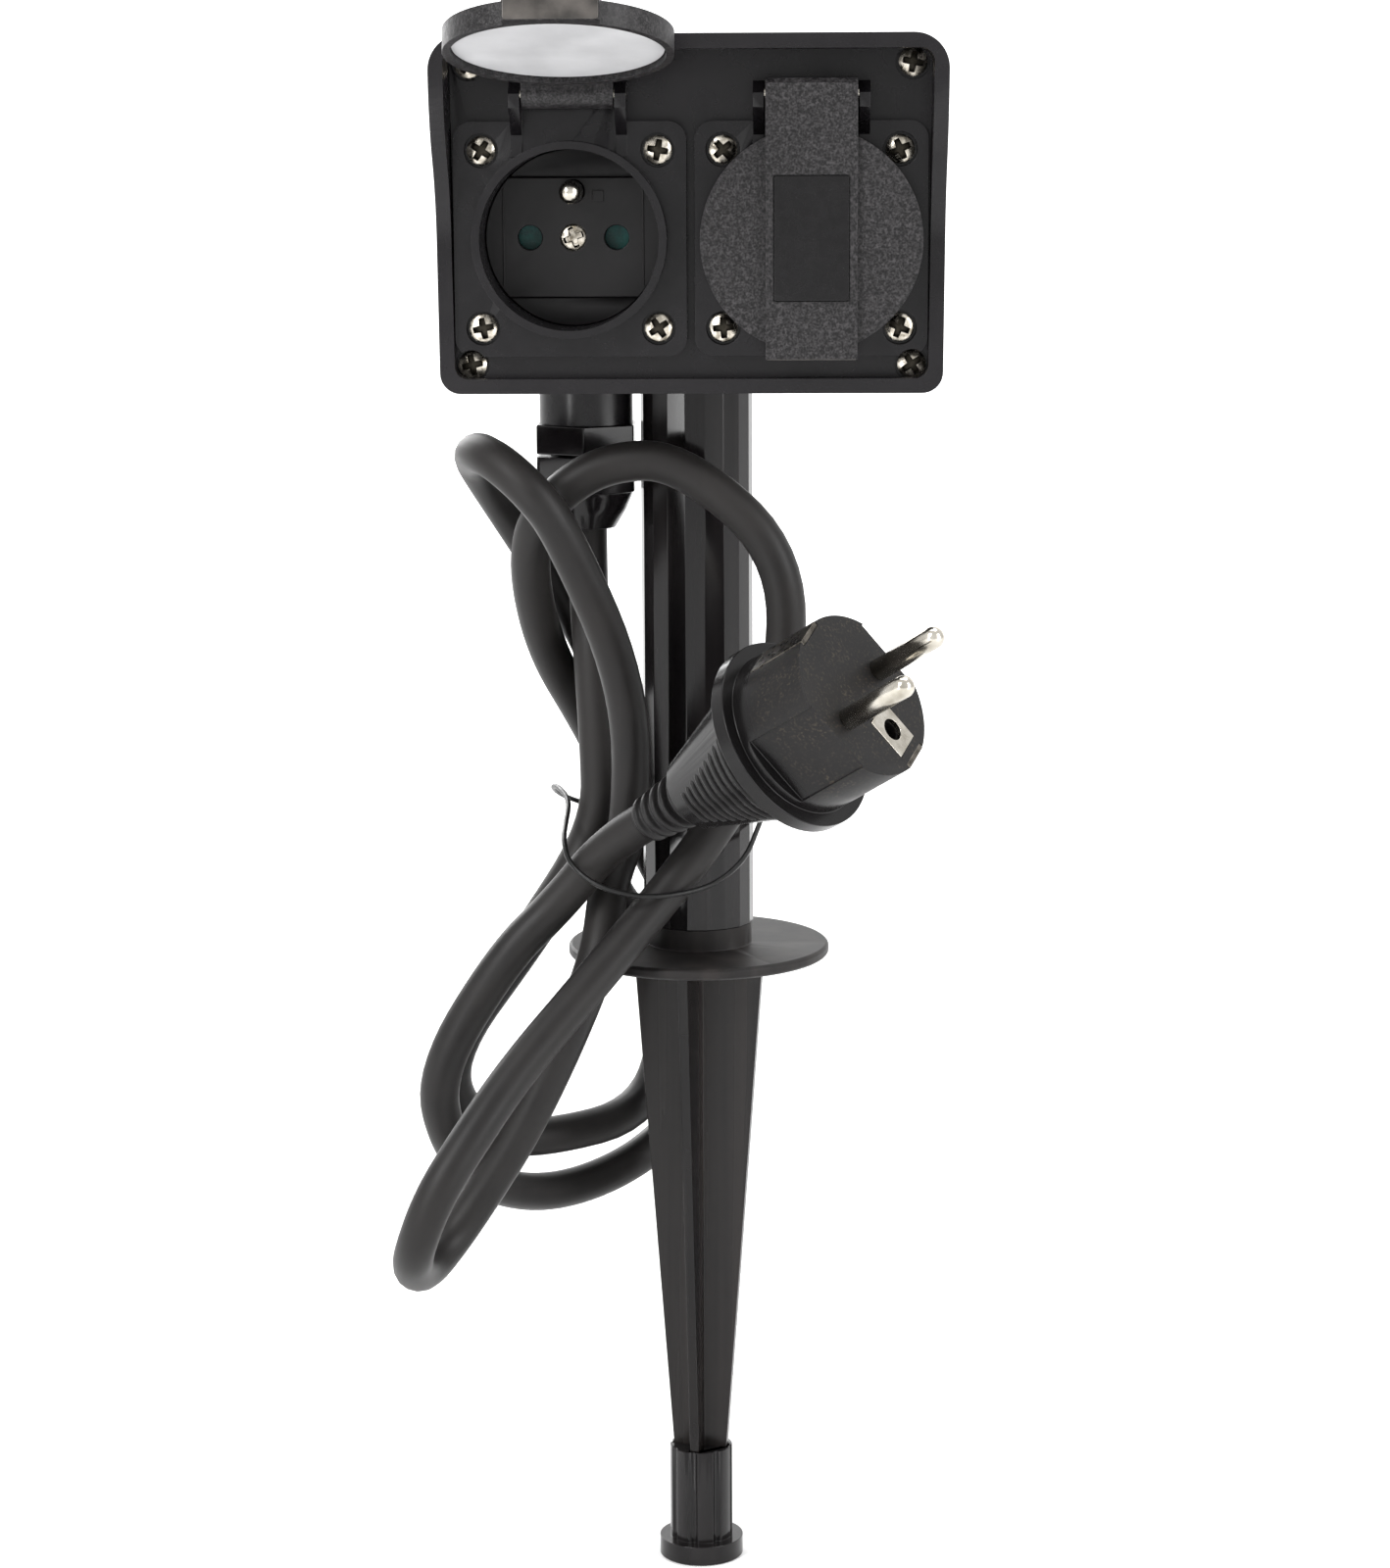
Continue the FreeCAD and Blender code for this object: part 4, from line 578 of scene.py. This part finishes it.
cable = {
    "diameter": 9.0,
    "length": 1311.0,
    # control points from the gland's mouth to the plug's cable entry: the source's own, most of them
    # moved a few millimetres towards the photograph's strands
    "points": [
        (-25, 0, 99.5), (-25, 0, 86), (-24, -4, 73.5), (-22.5, -7, 52), (-22, -7.5, 31.5), (-38, -14.5, 7),
        (-59.5, -14.5, -22.5), (-53.1, -3, -42.1), (-39.4, 6, -47.5), (-11.5, 27, -45.6), (-8, 38.5, -15.5),
        (-16.5, 36.5, -0.5), (-22.5, 21, 12.5), (-23, 5, 28), (-18.9, 3, 46.8), (-22.2, 7.5, 68.7),
        (-41.6, 11.5, 97.7), (-50, -2, 113.9), (-49.6, -14.5, 117.4), (-47.1, -27.5, 119.1),
        (-42, -35, 117.3), (-34.6, -39, 111.2), (-28.4, -36.2, 102.3), (-14.5, -24, 67),
        (-14.5, -17, 33.5), (-20, -16.5, 20.5), (-21.4, -28, 5.5), (-30.4, -25, -17), (-40, -26, -36.5),
        (-50.3, -25.5, -53), (-56.6, -29, -61.7), (-61.4, -38, -65.9), (-63.1, -49, -62),
        (-61.3, -61, -53.5), (-56.4, -64.5, -40.5), (-49.4, -59.5, -29.7), (-39, -50, -15.5),
        (-23.5, -38.5, 1), (-1, -23, 26), (9.5, -21, 41.5), (19.4, -21, 62.1), (21.4, -23.5, 95.6),
        (-2.5, -22, 116.6), (-18.9, -21.5, 116.6), (-31.7, -21, 108.6), (-38.4, -12.5, 95.8),
        (-35.8, 3, 71.8), (-26.5, 14.5, 53), (-19, 23, 35.5), (-10.5, 31, 12.5), (0, 40, -5.5),
        (4.5, 42.5, -25), (0, 38.5, -44), (-13.9, 25, -56.6), (-33, 12.5, -62.1), (-48.8, -3, -56.6),
        (-57.8, -18, -41.1), (-59.6, -27, -21.8), (-43, -28, 5.3), (-31, -26, 16.8), (-19.5, -26.5, 31),
        (-10.5, -33.5, 37.5),
    ],
}

tie = {
    "diameter": 1.2,
    "points": [
        (21, 1.2, 36), (15.2, 1.2, 33), (13.9, -5, 30.5), (11.2, -16.6, 25.4), (4.4, -26.5, 21.3),
        (-5.1, -33.1, 20.3), (-13.4, -36.1, 20.8), (-21.8, -35.2, 22.9), (-28.2, -31.6, 27.4),
        (-29.7, -25, 31.5), (-29.7, -16.6, 33.5), (-29.2, -7.3, 37.1), (-32.4, 3.1, 38.6),
        (-35, 14.6, 36.6), (-32.9, 26, 32), (-24, 32.2, 27.9), (-13.4, 32.8, 26.4), (-2.9, 25, 27.9),
        (6, 16, 31), (13.2, 8.5, 31.5), (15.2, 2.9, 33), (21, 2.9, 36),
    ],
}


def smoothLine(name, points, diameter, resolution):
    # one NURBS spline of order three through which the bevel carries a round section
    data = bpy.data.curves.new(name, "CURVE")
    data.dimensions = "3D"
    data.resolution_u = resolution
    data.render_resolution_u = resolution
    data.bevel_depth = diameter / 2 * mm
    data.bevel_resolution = 6
    data.use_fill_caps = True
    spline = data.splines.new("NURBS")
    spline.points.add(len(points) - 1)
    for spot, point in zip(spline.points, points):
        spot.co = [number * mm for number in point] + [1.0]
    spline.order_u = 3
    spline.use_endpoint_u = True
    made = bpy.data.objects.new(name, data)
    bpy.context.scene.collection.objects.link(made)
    return made


cordPiece = smoothLine("rubber_cord", cable["points"], cable["diameter"], 8)
cordPiece.data.materials.append(finishes["cableRubber"])
standFor(cordPiece, "supply_cord", slot="cable_rubber")

tiePiece = smoothLine("wire_tie_twist", tie["points"], tie["diameter"], 6)
tiePiece.data.bevel_resolution = 3
tiePiece.data.materials.append(finishes["tiePlastic"])
standFor(tiePiece, "wire_tie", slot="tie_plastic")
print("cord and tie")


# ---- plug on the cord's far end

plug = {
    "axis": (9.0, -7.0, 6.5),  # from the cable entry towards the pins
    "pinLine": (0.355, 0.834, 0.423),
    "length": 69.0,
    "pitch": 19.0,
    "pinRadius": 2.4,
    "pinLength": 19.0,
    "pinRoot": -3.0,  # the pins start this far inside the face
    "relief": {"length": 16.0, "neck": 5.25, "end": 7.0, "ribs": 5, "groove": (0.7, 2.1), "bore": 4.55},
    "grips": {"start": 21.0, "end": 40.5, "bars": 9, "width": 1.25, "height": 0.7, "arc": 96.0},
    "cone": ((16.0, 8.5), (42.5, 17.0)),
}


def plugAxes():
    # z along the plug, x along its two pins and y square to both
    along = np.array(plug["axis"]) / np.linalg.norm(plug["axis"])
    across = np.array(plug["pinLine"]) - along * np.dot(plug["pinLine"], along)
    across = across / np.linalg.norm(across)
    return np.array([across, np.cross(along, across), along])


def ribbedRelief():
    # radius grows along the length, and its ribs are a raised cosine with flattened crests
    relief = plug["relief"]
    along = np.linspace(0.0, 1.0, 90)
    wave = np.cos(2 * math.pi * along * relief["ribs"])
    crest = np.tanh(2.2 * wave) / math.tanh(2.2) * 0.5 + 0.5
    groove = relief["groove"][0] + (relief["groove"][1] - relief["groove"][0]) * along
    radius = relief["neck"] + (relief["end"] - relief["neck"]) * along - groove * crest
    profile = np.stack([radius, along * relief["length"]], axis=1)
    start, end = (relief["bore"], 0.0), (relief["bore"], relief["length"])
    return turnedGrid(np.concatenate([[start], profile, [end, start]]), 40)


def gripBars():
    # short raised bars on the cone's two sides above the guides, each a low arch across and round the cone
    grips, (start, end) = plug["grips"], plug["cone"]
    parts = []
    along = np.linspace(-1.0, 1.0, 7)
    for side in (0.0, 180.0):
        for number in range(grips["bars"]):
            share = number / (grips["bars"] - 1)
            level = grips["start"] + (grips["end"] - grips["start"]) * share
            arc = math.radians(grips["arc"] * (0.55 + 0.45 * share)) / 2
            turn = math.radians(side) + np.linspace(-arc, arc, 17)
            base = start[1] + (end[1] - start[1]) * (level - start[0]) / (end[0] - start[0])
            swell = np.sqrt(np.clip(1 - along ** 2, 0, 1))[:, None] * np.sqrt(
                np.clip(1 - np.linspace(-1, 1, 17) ** 8, 0, 1))[None, :]
            radius = base - 0.15 + swell * grips["height"]
            height = level + along[:, None] * grips["width"] / 2 + 0 * turn[None, :]
            radius = radius + (height - level) * (end[1] - start[1]) / (end[0] - start[0])
            points = np.stack([radius * np.cos(turn), radius * np.sin(turn), height], axis=-1)
            parts.append((points.reshape(-1, 3), gridFaces(7, 17, False)))
    return joined(parts)


def roundPins():
    # two straight pins whose ends are rounded: a quarter circle from the side to the tip
    turn = np.linspace(0.0, math.pi / 2, 9)
    radius, root, shoulder = plug["pinRadius"], plug["pinRoot"], plug["pinLength"] - plug["pinRadius"]
    side = [(0.0, root), (radius, root), (radius, shoulder)]
    cap = np.stack([radius * np.cos(turn), shoulder + radius * np.sin(turn)], axis=1)
    pin = turnedGrid(np.concatenate([side, cap[1:]]), 32)
    places = [(sign * plug["pitch"] / 2, 0.0, plug["length"]) for sign in (-1, 1)]
    return joined([(pin[0] + np.array(place), pin[1]) for place in places])


def makePlug():
    origin, axes = np.array(cable["points"][-1], float), plugAxes()
    shellFinish = flecked("plugShell", {
        "patch": 13.0, "grain": 0.35, "fleck": 0.62, "origin": tuple(origin), "axis": tuple(axes[2]),
        "head": (52.0, 58.0), "dark": (0.0046, 0.0042, 0.0045), "light": (0.0088, 0.0080, 0.0082),
        "speck": (0.036, 0.029, 0.021), "rough": (0.24, 0.46), "specular": 0.24})
    relief = meshObject("plug_relief_ribs", *placed(ribbedRelief(), origin, axes))
    standFor(relief, "plug_strain_relief")
    dress(relief, "plugRubber")
    shell = finishedCopy("plug_body", "plug_shell", 0.7, shellFinish, "plug_rubber", 3)
    grips = meshObject("plug_grips", *placed(gripBars(), origin, axes))
    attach(grips, "socket_box")
    dress(grips, "plugRubber")
    pins = meshObject("plug_round_pins", *placed(roundPins(), origin, axes))
    standFor(pins, "plug_pins")
    dress(pins, "contactNickel")
    # the side clips take the nickel coloured dark as painted shade
    clips = finishedCopy("plug_earth_clips", "plug_side_clips", 0.2, finishes["clipNickelShaded"], "contact_metal")
    plate = finishedCopy("plug_earth_contact", "plug_earth_plate", 0.25, finishes["contactNickel"],
                         "contact_metal")
    return [relief, shell, grips, pins, clips, plate]


plugPieces = makePlug()
print("plug")


# ---- box, post and spike: finished copies of the moulded parts

mouldings = {
    # node: (new name, edge radius, finish, slot, the angle from which an edge is sharp)
    "housing_body": ("box_middle", 0.35, "boxPlastic", "box_plastic", 32.0),
    "front_cover": ("hood_front", 0.45, "boxPlastic", "box_plastic", 32.0),
    "rear_cover": ("hood_rear", 0.45, "boxPlastic", "box_plastic", 32.0),
    "post_tube": ("post_facets", 0.18, "glossPlastic", "gloss_plastic", 12.0),
    "ground_spike": ("spike_vanes", 0.25, "spikePlastic", "gloss_plastic", 20.0),
    "spike_tip_cap": ("tip_sleeve", 0.3, "glossPlastic", "gloss_plastic", 32.0),
    "gland_body": ("gland_hexagon", 0.35, "glandPlastic", "gland_plastic", 32.0),
    "gland_nut": ("gland_dome", 0.35, "glandPlastic", "gland_plastic", 32.0),
}

# each cover's node keeps a leftover piece of side wall in front of its lower arc; the scene cuts it off,
# and the solids still have it. y is outwards and z up, on the front hood
hoodCurve = {
    "centre": (-68.02, 165.7), "radius": 29.07,
    "turn": (36.0, -1.5),  # degrees from which, and to which, the arc runs
    "halfWidth": 60.0,
    "around": ((-39.06, 163.0), (-39.06, 139.0), (-54.0, 139.0), (-54.0, 195.87)),
}


def curveCutter(rear):
    # a prism over the whole width: an arc, its centre plus radius times cosine and sine, closed by points around
    turn = np.radians(np.linspace(*hoodCurve["turn"], 14))
    arc = np.array(hoodCurve["centre"]) + hoodCurve["radius"] * np.stack([np.cos(turn), np.sin(turn)], axis=1)
    edge = np.concatenate([arc, np.array(hoodCurve["around"])]) * ((-1.0, 1.0) if rear else (1.0, 1.0))
    count = len(edge)
    rings = [np.column_stack([np.full(count, side * hoodCurve["halfWidth"]), edge]) for side in (-1, 1)]
    first = np.arange(count)
    after = (first + 1) % count
    walls = np.stack([first, after, after + count, first + count], axis=1).tolist()
    caps = [first.tolist(), (first + count).tolist()]
    mesh = bpy.data.meshes.new("curveCutter")
    mesh.from_pydata((np.concatenate(rings) * mm).tolist(), [], walls + caps)
    work = bmesh.new()
    work.from_mesh(mesh)
    bmesh.ops.recalc_face_normals(work, faces=work.faces)
    work.to_mesh(mesh)
    work.free()
    cutter = bpy.data.objects.new("curveCutter", mesh)
    bpy.context.scene.collection.objects.link(cutter)
    return cutter


def cutHood(piece, rear, sharp):
    # the prism is taken away from the mesh before the live Bevel, so the side ends in one smooth S
    cutter = curveCutter(rear)
    ease = piece.modifiers["easedEdges"]
    ease.show_viewport = False
    cut = piece.modifiers.new("curve", "BOOLEAN")
    cut.operation, cut.solver, cut.object = "DIFFERENCE", "EXACT", cutter
    bpy.context.view_layer.update()
    shape = bpy.data.meshes.new_from_object(piece.evaluated_get(bpy.context.evaluated_depsgraph_get()))
    piece.modifiers.remove(cut)
    ease.show_viewport = True
    bpy.data.objects.remove(cutter)
    work = bmesh.new()
    work.from_mesh(shape)
    bmesh.ops.remove_doubles(work, verts=work.verts, dist=1.5e-6)
    work.to_mesh(shape)
    work.free()
    shape.polygons.foreach_set("use_smooth", [True] * len(shape.polygons))
    shape.set_sharp_from_angle(angle=math.radians(sharp))
    piece.data = shape


for node, (newName, radius, finish, slot, sharp) in mouldings.items():
    made = finishedCopy(node, newName, radius, finishes[finish], slot, sharp=sharp)
    if node.endswith("_cover"):
        cutHood(made, node.startswith("rear"), sharp)
print("mouldings")


# ---- screws with a cross recess

screws = {
    "head": 3.1, "height": 2.2, "crown": 0.9, "shank": 1.45,
    "flangeLength": 9.0, "coverLength": 12.0, "sharp": 35,
    "cross": {"reach": 2.1, "half": 0.55, "depth": 1.7, "slope": 0.2},
    "dark": {"reach": 2.5, "floor": 0.02, "rim": 0.82, "fall": 0.35},  # where the cross's painted shade ends
    "turns": (12.0, 57.0, 33.0, 80.0, 5.0, 41.0, 68.0, 24.0),  # degrees of each head's cross
}


def roundSquare(lines):
    # a square grid laid onto a disc: x times root(1 - y*y/2) and y times root(1 - x*x/2)
    x, y = np.meshgrid(lines, lines, indexing="ij")
    return x * np.sqrt(1 - y * y / 2), y * np.sqrt(1 - x * x / 2)


def screwPart(head, height, crown, length, turn):
    # pan head: a low dome with a cross sunk into it, closed below by turned rings down to the shank's tip
    cross = screws["cross"]
    half, slope, reach = cross["half"] / head, cross["slope"] / head, cross["reach"] / head
    inner = np.array([0.0, half * 0.6, half, half + slope, (half + slope + reach) / 2, reach, reach + slope,
                      (reach + slope + 1) / 2, 0.93, 1.0])
    lines = np.concatenate([-inner[:0:-1], inner])
    x, y = roundSquare(lines)
    away = np.hypot(x, y)
    dome = height - crown * away ** 2.6
    gridX, gridY = np.meshgrid(np.abs(lines), np.abs(lines), indexing="ij")
    narrow, wide = np.minimum(gridX, gridY), np.maximum(gridX, gridY)
    sunk = np.clip((half + slope - narrow) / slope, 0, 1) * np.clip((reach + slope - wide) / slope, 0, 1)
    z = dome - sunk * cross["depth"]
    count = len(lines)
    top = np.stack([x * head, y * head, z], axis=-1).reshape(-1, 3)
    ring = np.concatenate([np.arange(count), np.arange(1, count) * count + count - 1,
                           (count - 1) * count + np.arange(count - 2, -1, -1),
                           np.arange(count - 2, 0, -1) * count])
    edge = top[ring] / head
    edge[:, 2] = 0.0
    rim = height - crown
    rows = [(head, rim), (head, rim * 0.45), (head * 0.97, 0.0), (screws["shank"], 0.0),
            (screws["shank"], -length + 1.2), (0.0, -length)]
    side = np.stack([edge * radius + np.array([0.0, 0.0, level]) for radius, level in rows])
    parts = joined([(top, gridFaces(count, count, False)),
                    (side.reshape(-1, 3), gridFaces(len(rows), len(ring), True))])
    angle = math.radians(turn)
    spin = np.array([[math.cos(angle), math.sin(angle), 0], [-math.sin(angle), math.cos(angle), 0], [0, 0, 1]])
    return parts[0] @ spin, parts[1]


def paintShadeInCross(piece, places, seat, height):
    # the cross's floor and walls, which lie near a screw's middle and below its dome, take a dark finish that is
    # painted shade in the recess
    piece.data.materials.append(finishes["screwRecessShade"])
    middles = np.empty(len(piece.data.polygons) * 3)
    piece.data.polygons.foreach_get("center", middles)
    middles = middles.reshape(-1, 3) / mm
    away = np.min([np.hypot(middles[:, 0] - x, middles[:, 2] - z) for x, z in places], axis=0)
    level = np.abs(middles[:, 1]) - seat
    dark = screws["dark"]
    crest = height * dark["rim"] - dark["fall"] * (away / dark["reach"]) ** 2
    sunk = (away < dark["reach"]) & (level > dark["floor"]) & (level < crest)
    piece.data.polygons.foreach_set("material_index", sunk.astype(int))


def finishScrews(parts, node, newName, places, seat, height):
    piece = meshObject(newName, *joined(parts))
    piece.data.set_sharp_from_angle(angle=math.radians(screws["sharp"]))
    standFor(piece, node)
    dress(piece, "screwNickel")
    paintShadeInCross(piece, places, seat, height)


def makeScrews(node, newName, seat, places, rear, length):
    # one screw at each place, its head at the seat and its cross turned by the next angle of the list
    outwards = seat if rear else -seat
    parts = []
    for number, (x, z) in enumerate(places):
        turn = screws["turns"][number % len(screws["turns"])]
        part = screwPart(screws["head"], screws["height"], screws["crown"], length, turn)
        parts.append(placed(part, (x, outwards, z), rearAxes if rear else frontAxes))
    finishScrews(parts, node, newName, places, seat, screws["height"])


socketPlan = {"pitch": 52.0, "height": 165.8, "screwPitch": 38.0, "flangeSeat": 35.6,
              "coverSeat": 32.75, "coverAcross": 47.75, "coverUp": 32.25, "coverMiddle": 170.95}


def pairs(across, up, middleX, middleZ):
    # the four corners of a rectangle about a middle
    return [(middleX + sx * across, middleZ + sz * up) for sx in (-1, 1) for sz in (-1, 1)]


for face, rear in (("front", False), ("rear", True)):
    half = socketPlan["screwPitch"] / 2
    flange = [spot for side in (-1, 1)
              for spot in pairs(half, half, side * socketPlan["pitch"] / 2, socketPlan["height"])]
    makeScrews(face + "_socket_screws", face + "_flange_screws", socketPlan["flangeSeat"], flange, rear,
               screws["flangeLength"])
    cover = pairs(socketPlan["coverAcross"], socketPlan["coverUp"], 0.0, socketPlan["coverMiddle"])
    makeScrews(face + "_cover_screws", face + "_corner_screws", socketPlan["coverSeat"], cover, rear,
               screws["coverLength"])
print("screws")


# ---- sockets and lids

socket = {
    "names": {"front_left": -1, "front_right": 1, "rear_left": -1, "rear_right": 1},
    "face": 25.5,  # the contact face's distance from the middle of the box
    "pin": {"radius": 2.4, "root": 10.5, "tip": 39.5, "up": 10.0},
    "screw": {"seat": 23.9, "length": 11.0, "head": 2.75, "height": 1.5, "crown": 0.55},
    "ridge": {"across": 15.3, "half": (0.2, 10.6), "thick": 0.2},
    "pad": {"place": (5.5, 9.0), "half": 1.25, "thick": 0.3},
}

lid = {
    "hinge": (-41.5, 196.8),  # y and z of the front hinge line
    "open": {"front_left": -105.0},  # degrees about the hinge, as in the part's source
    "window": {"half": (8.05, 13.25), "up": 0.4, "floor": 46.88, "thick": 0.4},
    "strapEnd": {"half": (9.6, 2.9), "middle": 44.35, "level": 140.63, "thick": 0.2},
}


def onFace(part, name, x, up, front):
    # a part drawn flat is set on a socket's face, x and up counted from the socket's middle
    middle = np.array([socket["names"][name] * socketPlan["pitch"] / 2 + x, -front, socketPlan["height"] + up])
    spots, faces = placed(part, middle, frontAxes)
    if name.startswith("rear"):
        spots = spots * np.array([-1.0, -1.0, 1.0])
    return spots, faces


def onLid(part, name, origin, axes):
    # drawn on the closed front lid, then swung about the hinge where it stands open, and the rear turned round
    spots, faces = placed(part, origin, axes)
    hinge = np.array([0.0, *lid["hinge"]])
    swing = np.array(Matrix.Rotation(math.radians(lid["open"].get(name, 0.0)), 3, "X"))
    spots = (spots - hinge) @ swing.T + hinge
    if name.startswith("rear"):
        spots = spots * np.array([-1.0, -1.0, 1.0])
    return spots, faces


def domedPin():
    # a round pin closed by a hemisphere: radius is r times cosine and height r times sine
    pin = socket["pin"]
    turn = np.linspace(0.0, math.pi / 2, 9)
    shaft = [(0.0, pin["root"]), (pin["radius"], pin["root"])]
    dome = np.stack([pin["radius"] * np.cos(turn), pin["tip"] - pin["radius"] * (1 - np.sin(turn))], axis=1)
    return turnedGrid(np.concatenate([shaft, dome]), 32)


def addLidPlates(name):
    # a smooth pane in the strap's window, and a glossy face under its finger end coloured light as a painted
    # highlight
    side = socket["names"][name] * socketPlan["pitch"] / 2
    window, end = lid["window"], lid["strapEnd"]
    plate = softPlate(*window["half"], 0.7, window["thick"], 0.2)
    plate = onLid(plate, name, (side, -window["floor"], socketPlan["height"] + window["up"]), frontAxes)
    pane = meshObject("window_" + name, *plate)
    tab = softPlate(*end["half"], 0.6, end["thick"], 0.15)
    tab = onLid(tab, name, (side, -end["middle"], end["level"]), downAxes)
    strapEnd = meshObject("strap_end_highlight_" + name, *tab)
    for piece, finish in ((pane, "lidWindow"), (strapEnd, "lidTabHighlight")):
        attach(piece, frame["nodes"]["lid_" + name]["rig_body"])
        dress(piece, finish)


def addFaceDetails(name):
    # two thin ridges and a pad on the contact face, and the domed earth pin
    ridge, pad, pin = socket["ridge"], socket["pad"], socket["pin"]
    lines = [onFace(softPlate(*ridge["half"], 0.19, ridge["thick"], 0.14), name, sign * ridge["across"], 0.0,
                    socket["face"]) for sign in (-1, 1)]
    mark = onFace(softPlate(pad["half"], pad["half"], 0.3, pad["thick"], 0.12), name, *pad["place"], socket["face"])
    trim = meshObject("face_trim_" + name, *joined(lines + [mark]))
    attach(trim, "socket_box")
    dress(trim, "insertPlastic")
    post = meshObject("earth_dome_" + name, *onFace(domedPin(), name, 0.0, pin["up"], 0.0))
    standFor(post, "earth_pin_" + name)
    dress(post, "contactNickel")


def makeSockets():
    for name in socket["names"]:
        finishedCopy("socket_frame_" + name, "flange_" + name, 0.3, finishes["framePlastic"], "frame_plastic")
        finishedCopy("socket_face_" + name, "insert_" + name, 0.25, finishes["insertPlastic"],
                     "insert_plastic")
        finishedCopy("lid_" + name, "cap_" + name, 0.35, finishes["lidPlastic"], "lid_plastic")
        addLidPlates(name)
        addFaceDetails(name)
    screw = socket["screw"]
    parts = []
    for number, name in enumerate(socket["names"]):
        part = screwPart(screw["head"], screw["height"], screw["crown"], screw["length"], 20.0 + 37.0 * number)
        parts.append(onFace(part, name, 0.0, 0.0, screw["seat"]))
    places = [(sign * socketPlan["pitch"] / 2, socketPlan["height"]) for sign in (-1, 1)]
    finishScrews(parts, "centre_screws", "centre_cross_screws", places, screw["seat"], screw["height"])


makeSockets()
print("sockets and lids")


# ---- what is still a plain node takes its finish here

nodeFinish = {
    "front_gasket": "gasket_rubber", "rear_gasket": "gasket_rubber", "gland_seal": "gasket_rubber",
    "hinge_pins": "contact_metal", "post_screw": "screw_steel", "inner_cable": "cable_rubber",
}

kinds = {"contacts_": "contact_metal", "socket_base_": "insert_plastic",
         "shutter_": "shutter_plastic", "lid_seal_": "seal_rubber"}

for name, node in frame["nodes"].items():
    slot = nodeFinish.get(name) or next((kinds[start] for start in kinds if name.startswith(start)), None)
    if slot is None or node.hide_render:
        continue
    dress(node, slotFinish[slot])
print("plain nodes dressed")
